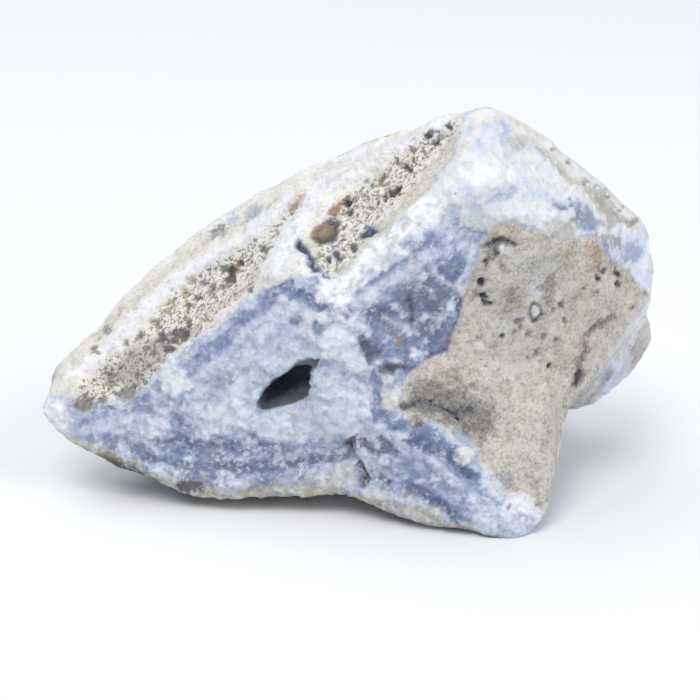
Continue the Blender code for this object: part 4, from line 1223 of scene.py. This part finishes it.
def grains(made, rocky, pale):
    """The sugar's and the grit's noise, and how far each place is a pale grain."""
    sugar = made.noise(*SUGAR_NOISE)
    grit = made.noise(*GRIT_NOISE)
    cloud = made.math("MULTIPLY", made.noise(*CLOUD_NOISE), 1.0 - GRIT_SHARE)
    rock = made.math("MULTIPLY_ADD", grit, GRIT_SHARE, cloud)
    level = made.mix(rocky, made.spread(sugar, 0.36, 0.64), made.spread(rock, 0.37, 0.63))
    edge = made.math("SUBTRACT", pale, level)
    return sugar, grit, made.spread(edge, -GRAIN_EDGE, GRAIN_EDGE)


def sugar_flecks(made, sugary):
    """White crystal flecks, in worn clusters on the filling and the cap."""
    fleck = made.spread(made.crystals(CRYSTAL_SIZE, "Color"), 0.5, 0.78)
    worn = made.spread(made.noise(*WORN_NOISE), 0.42, 0.6, 0.0, 0.85)
    cluster = made.spread(made.noise(*CLUSTER_NOISE), 0.44, 0.58)
    return made.math("MULTIPLY", made.math("MULTIPLY", fleck, worn), made.math("MULTIPLY", cluster, sugary))


def fine_holes(made, rocky, pitted):
    """Holes finer than the mesh, more of them where the rock is pitted."""
    level = made.math("MULTIPLY_ADD", pitted, HOLE_SPREAD, HOLE_START)
    edge = made.math("SUBTRACT", level, made.noise(*HOLE_NOISE))
    return made.math("MULTIPLY", made.spread(edge, -0.01, 0.05), rocky)


def rust_stains(made, rocky):
    stain = made.spread(made.noise(*STAIN_NOISE), 0.64, 0.72, 0.0, 0.4)
    return made.math("MULTIPLY", stain, rocky)


def glints(made, sugary, rough):
    """The roughness, with crystals that are a little duller or shinier than the next."""
    glint = made.spread(made.crystals(GLINT_SIZE, "Color"), 0.2, 0.8, -0.12, 0.12)
    return made.math("MULTIPLY_ADD", glint, sugary, rough)


def fine_bumps(made, sugar_height, rock_height):
    bump = made.add("ShaderNodeBump")
    bump.inputs["Strength"].default_value = BUMP_STRENGTH
    bump.inputs["Distance"].default_value = BUMP_DEPTH
    made.join(made.math("ADD", rock_height, sugar_height), bump.inputs["Height"])
    return bump.outputs["Normal"]


def stone_material():
    """The stone's colours, painted shade and light among them, broken up by grains, pores, sugar and
    sparkle finer than its mesh.
    """
    material = bpy.data.materials.new("blue_chalcedony")
    made = Nodes(material)
    dark = made.add("ShaderNodeAttribute", attribute_name="dark_grains")
    light = made.add("ShaderNodeAttribute", attribute_name="pale_grains")
    finish = made.add("ShaderNodeAttribute", attribute_name="finish")
    parts = made.add("ShaderNodeSeparateColor")
    made.join(finish.outputs["Color"], parts.inputs["Color"])
    rocky, rough, pitted = parts.outputs
    sugary = made.math("SUBTRACT", 1.0, rocky)

    sugar, grit, pale_share = grains(made, rocky, dark.outputs["Alpha"])
    holes = fine_holes(made, rocky, pitted)
    white = made.plain(tone(SUGAR) * DAYLIGHT_SHARE)
    colour = made.lay_over(pale_share, dark.outputs["Color"], light.outputs["Color"])
    colour = made.lay_over(sugar_flecks(made, sugary), colour, white)
    # Fine holes darkened with the pores' colour: partly their own dark, partly painted shade inside them.
    colour = made.lay_over(made.math("MULTIPLY", holes, HOLE_DARKNESS), colour, made.plain(tone(PORE)))
    colour = made.lay_over(rust_stains(made, rocky), colour, made.plain(tone(RUST)))

    uneven = made.math("ADD", made.math("ADD", made.crystals(CRYSTAL_SIZE), pale_share), sugar)
    sugar_height = made.math("MULTIPLY", uneven, made.math("MULTIPLY", sugary, SUGAR_BUMP))
    rock_height = made.math("MULTIPLY", made.math("SUBTRACT", grit, holes), rocky)

    made.finish("Base Color", colour)
    made.finish("Roughness", glints(made, sugary, rough))
    made.finish("Normal", fine_bumps(made, sugar_height, rock_height))
    made.finish("Subsurface Weight", SUNK_LIGHT)
    made.finish("Subsurface Scale", SUNK_DEPTH)
    made.finish("Specular IOR Level", SHINE)
    return material


def make_stone():
    noise.seed_set(NOISE_SEED)
    stone = merged_copy("chalcedony_stone")
    even_skin(stone)
    finish_surface(stone)
    stone.data.shade_smooth()
    stone.data.materials.clear()
    stone.data.materials.append(stone_material())
    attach(stone, "root")
    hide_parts("chalcedony_stone")
    return stone


def make_floor():
    shape = bmesh.new()
    bmesh.ops.create_grid(shape, x_segments=1, y_segments=1, size=FLOOR_REACH)
    mesh = bpy.data.meshes.new("floor")
    shape.to_mesh(mesh)
    shape.free()
    floor = bpy.data.objects.new("floor", mesh)
    bpy.context.scene.collection.objects.link(floor)
    material = bpy.data.materials.new("pale_floor")
    material.use_nodes = True
    shader = material.node_tree.nodes["Principled BSDF"]
    shader.inputs["Base Color"].default_value = FLOOR_COLOUR
    shader.inputs["Roughness"].default_value = FLOOR_ROUGH
    mesh.materials.append(material)


def make_camera():
    """A camera at the viewing point, framed as the view is."""
    eye, ahead, up, across = view_axes()
    lens = bpy.data.cameras.new("camera")
    lens.sensor_width = SENSOR_MM
    lens.lens = SENSOR_MM * PIXELS_PER_MM * VIEW_DISTANCE / VIEW_PIXELS
    lens.clip_start = 0.01
    camera = bpy.data.objects.new("camera", lens)
    bpy.context.scene.collection.objects.link(camera)
    camera.location = Vector(eye) * MM
    camera.rotation_euler = Vector(ahead).to_track_quat("-Z", "Y").to_euler()
    bpy.context.scene.camera = camera


def add_light(name, place, size, power, colour):
    """A soft square light that faces the stone."""
    lamp = bpy.data.lights.new(name, "AREA")
    lamp.size = size
    lamp.energy = power
    lamp.color = colour
    thing = bpy.data.objects.new(name, lamp)
    bpy.context.scene.collection.objects.link(thing)
    thing.location = place
    aim = Vector(LIGHTS_AIM) - Vector(place)
    thing.rotation_euler = aim.to_track_quat("-Z", "Y").to_euler()


def make_studio():
    """Bluish white surroundings and three big soft lights: over it, in front, and low on the right."""
    world = bpy.data.worlds.new("studio")
    world.use_nodes = True
    surroundings = world.node_tree.nodes["Background"]
    surroundings.inputs["Color"].default_value = SURROUNDINGS
    surroundings.inputs["Strength"].default_value = SURROUNDINGS_STRENGTH
    bpy.context.scene.world = world
    for light in LIGHTS:
        add_light(*light)
    bpy.context.scene.view_settings.view_transform = "Standard"


make_stone()
make_floor()
make_camera()
make_studio()
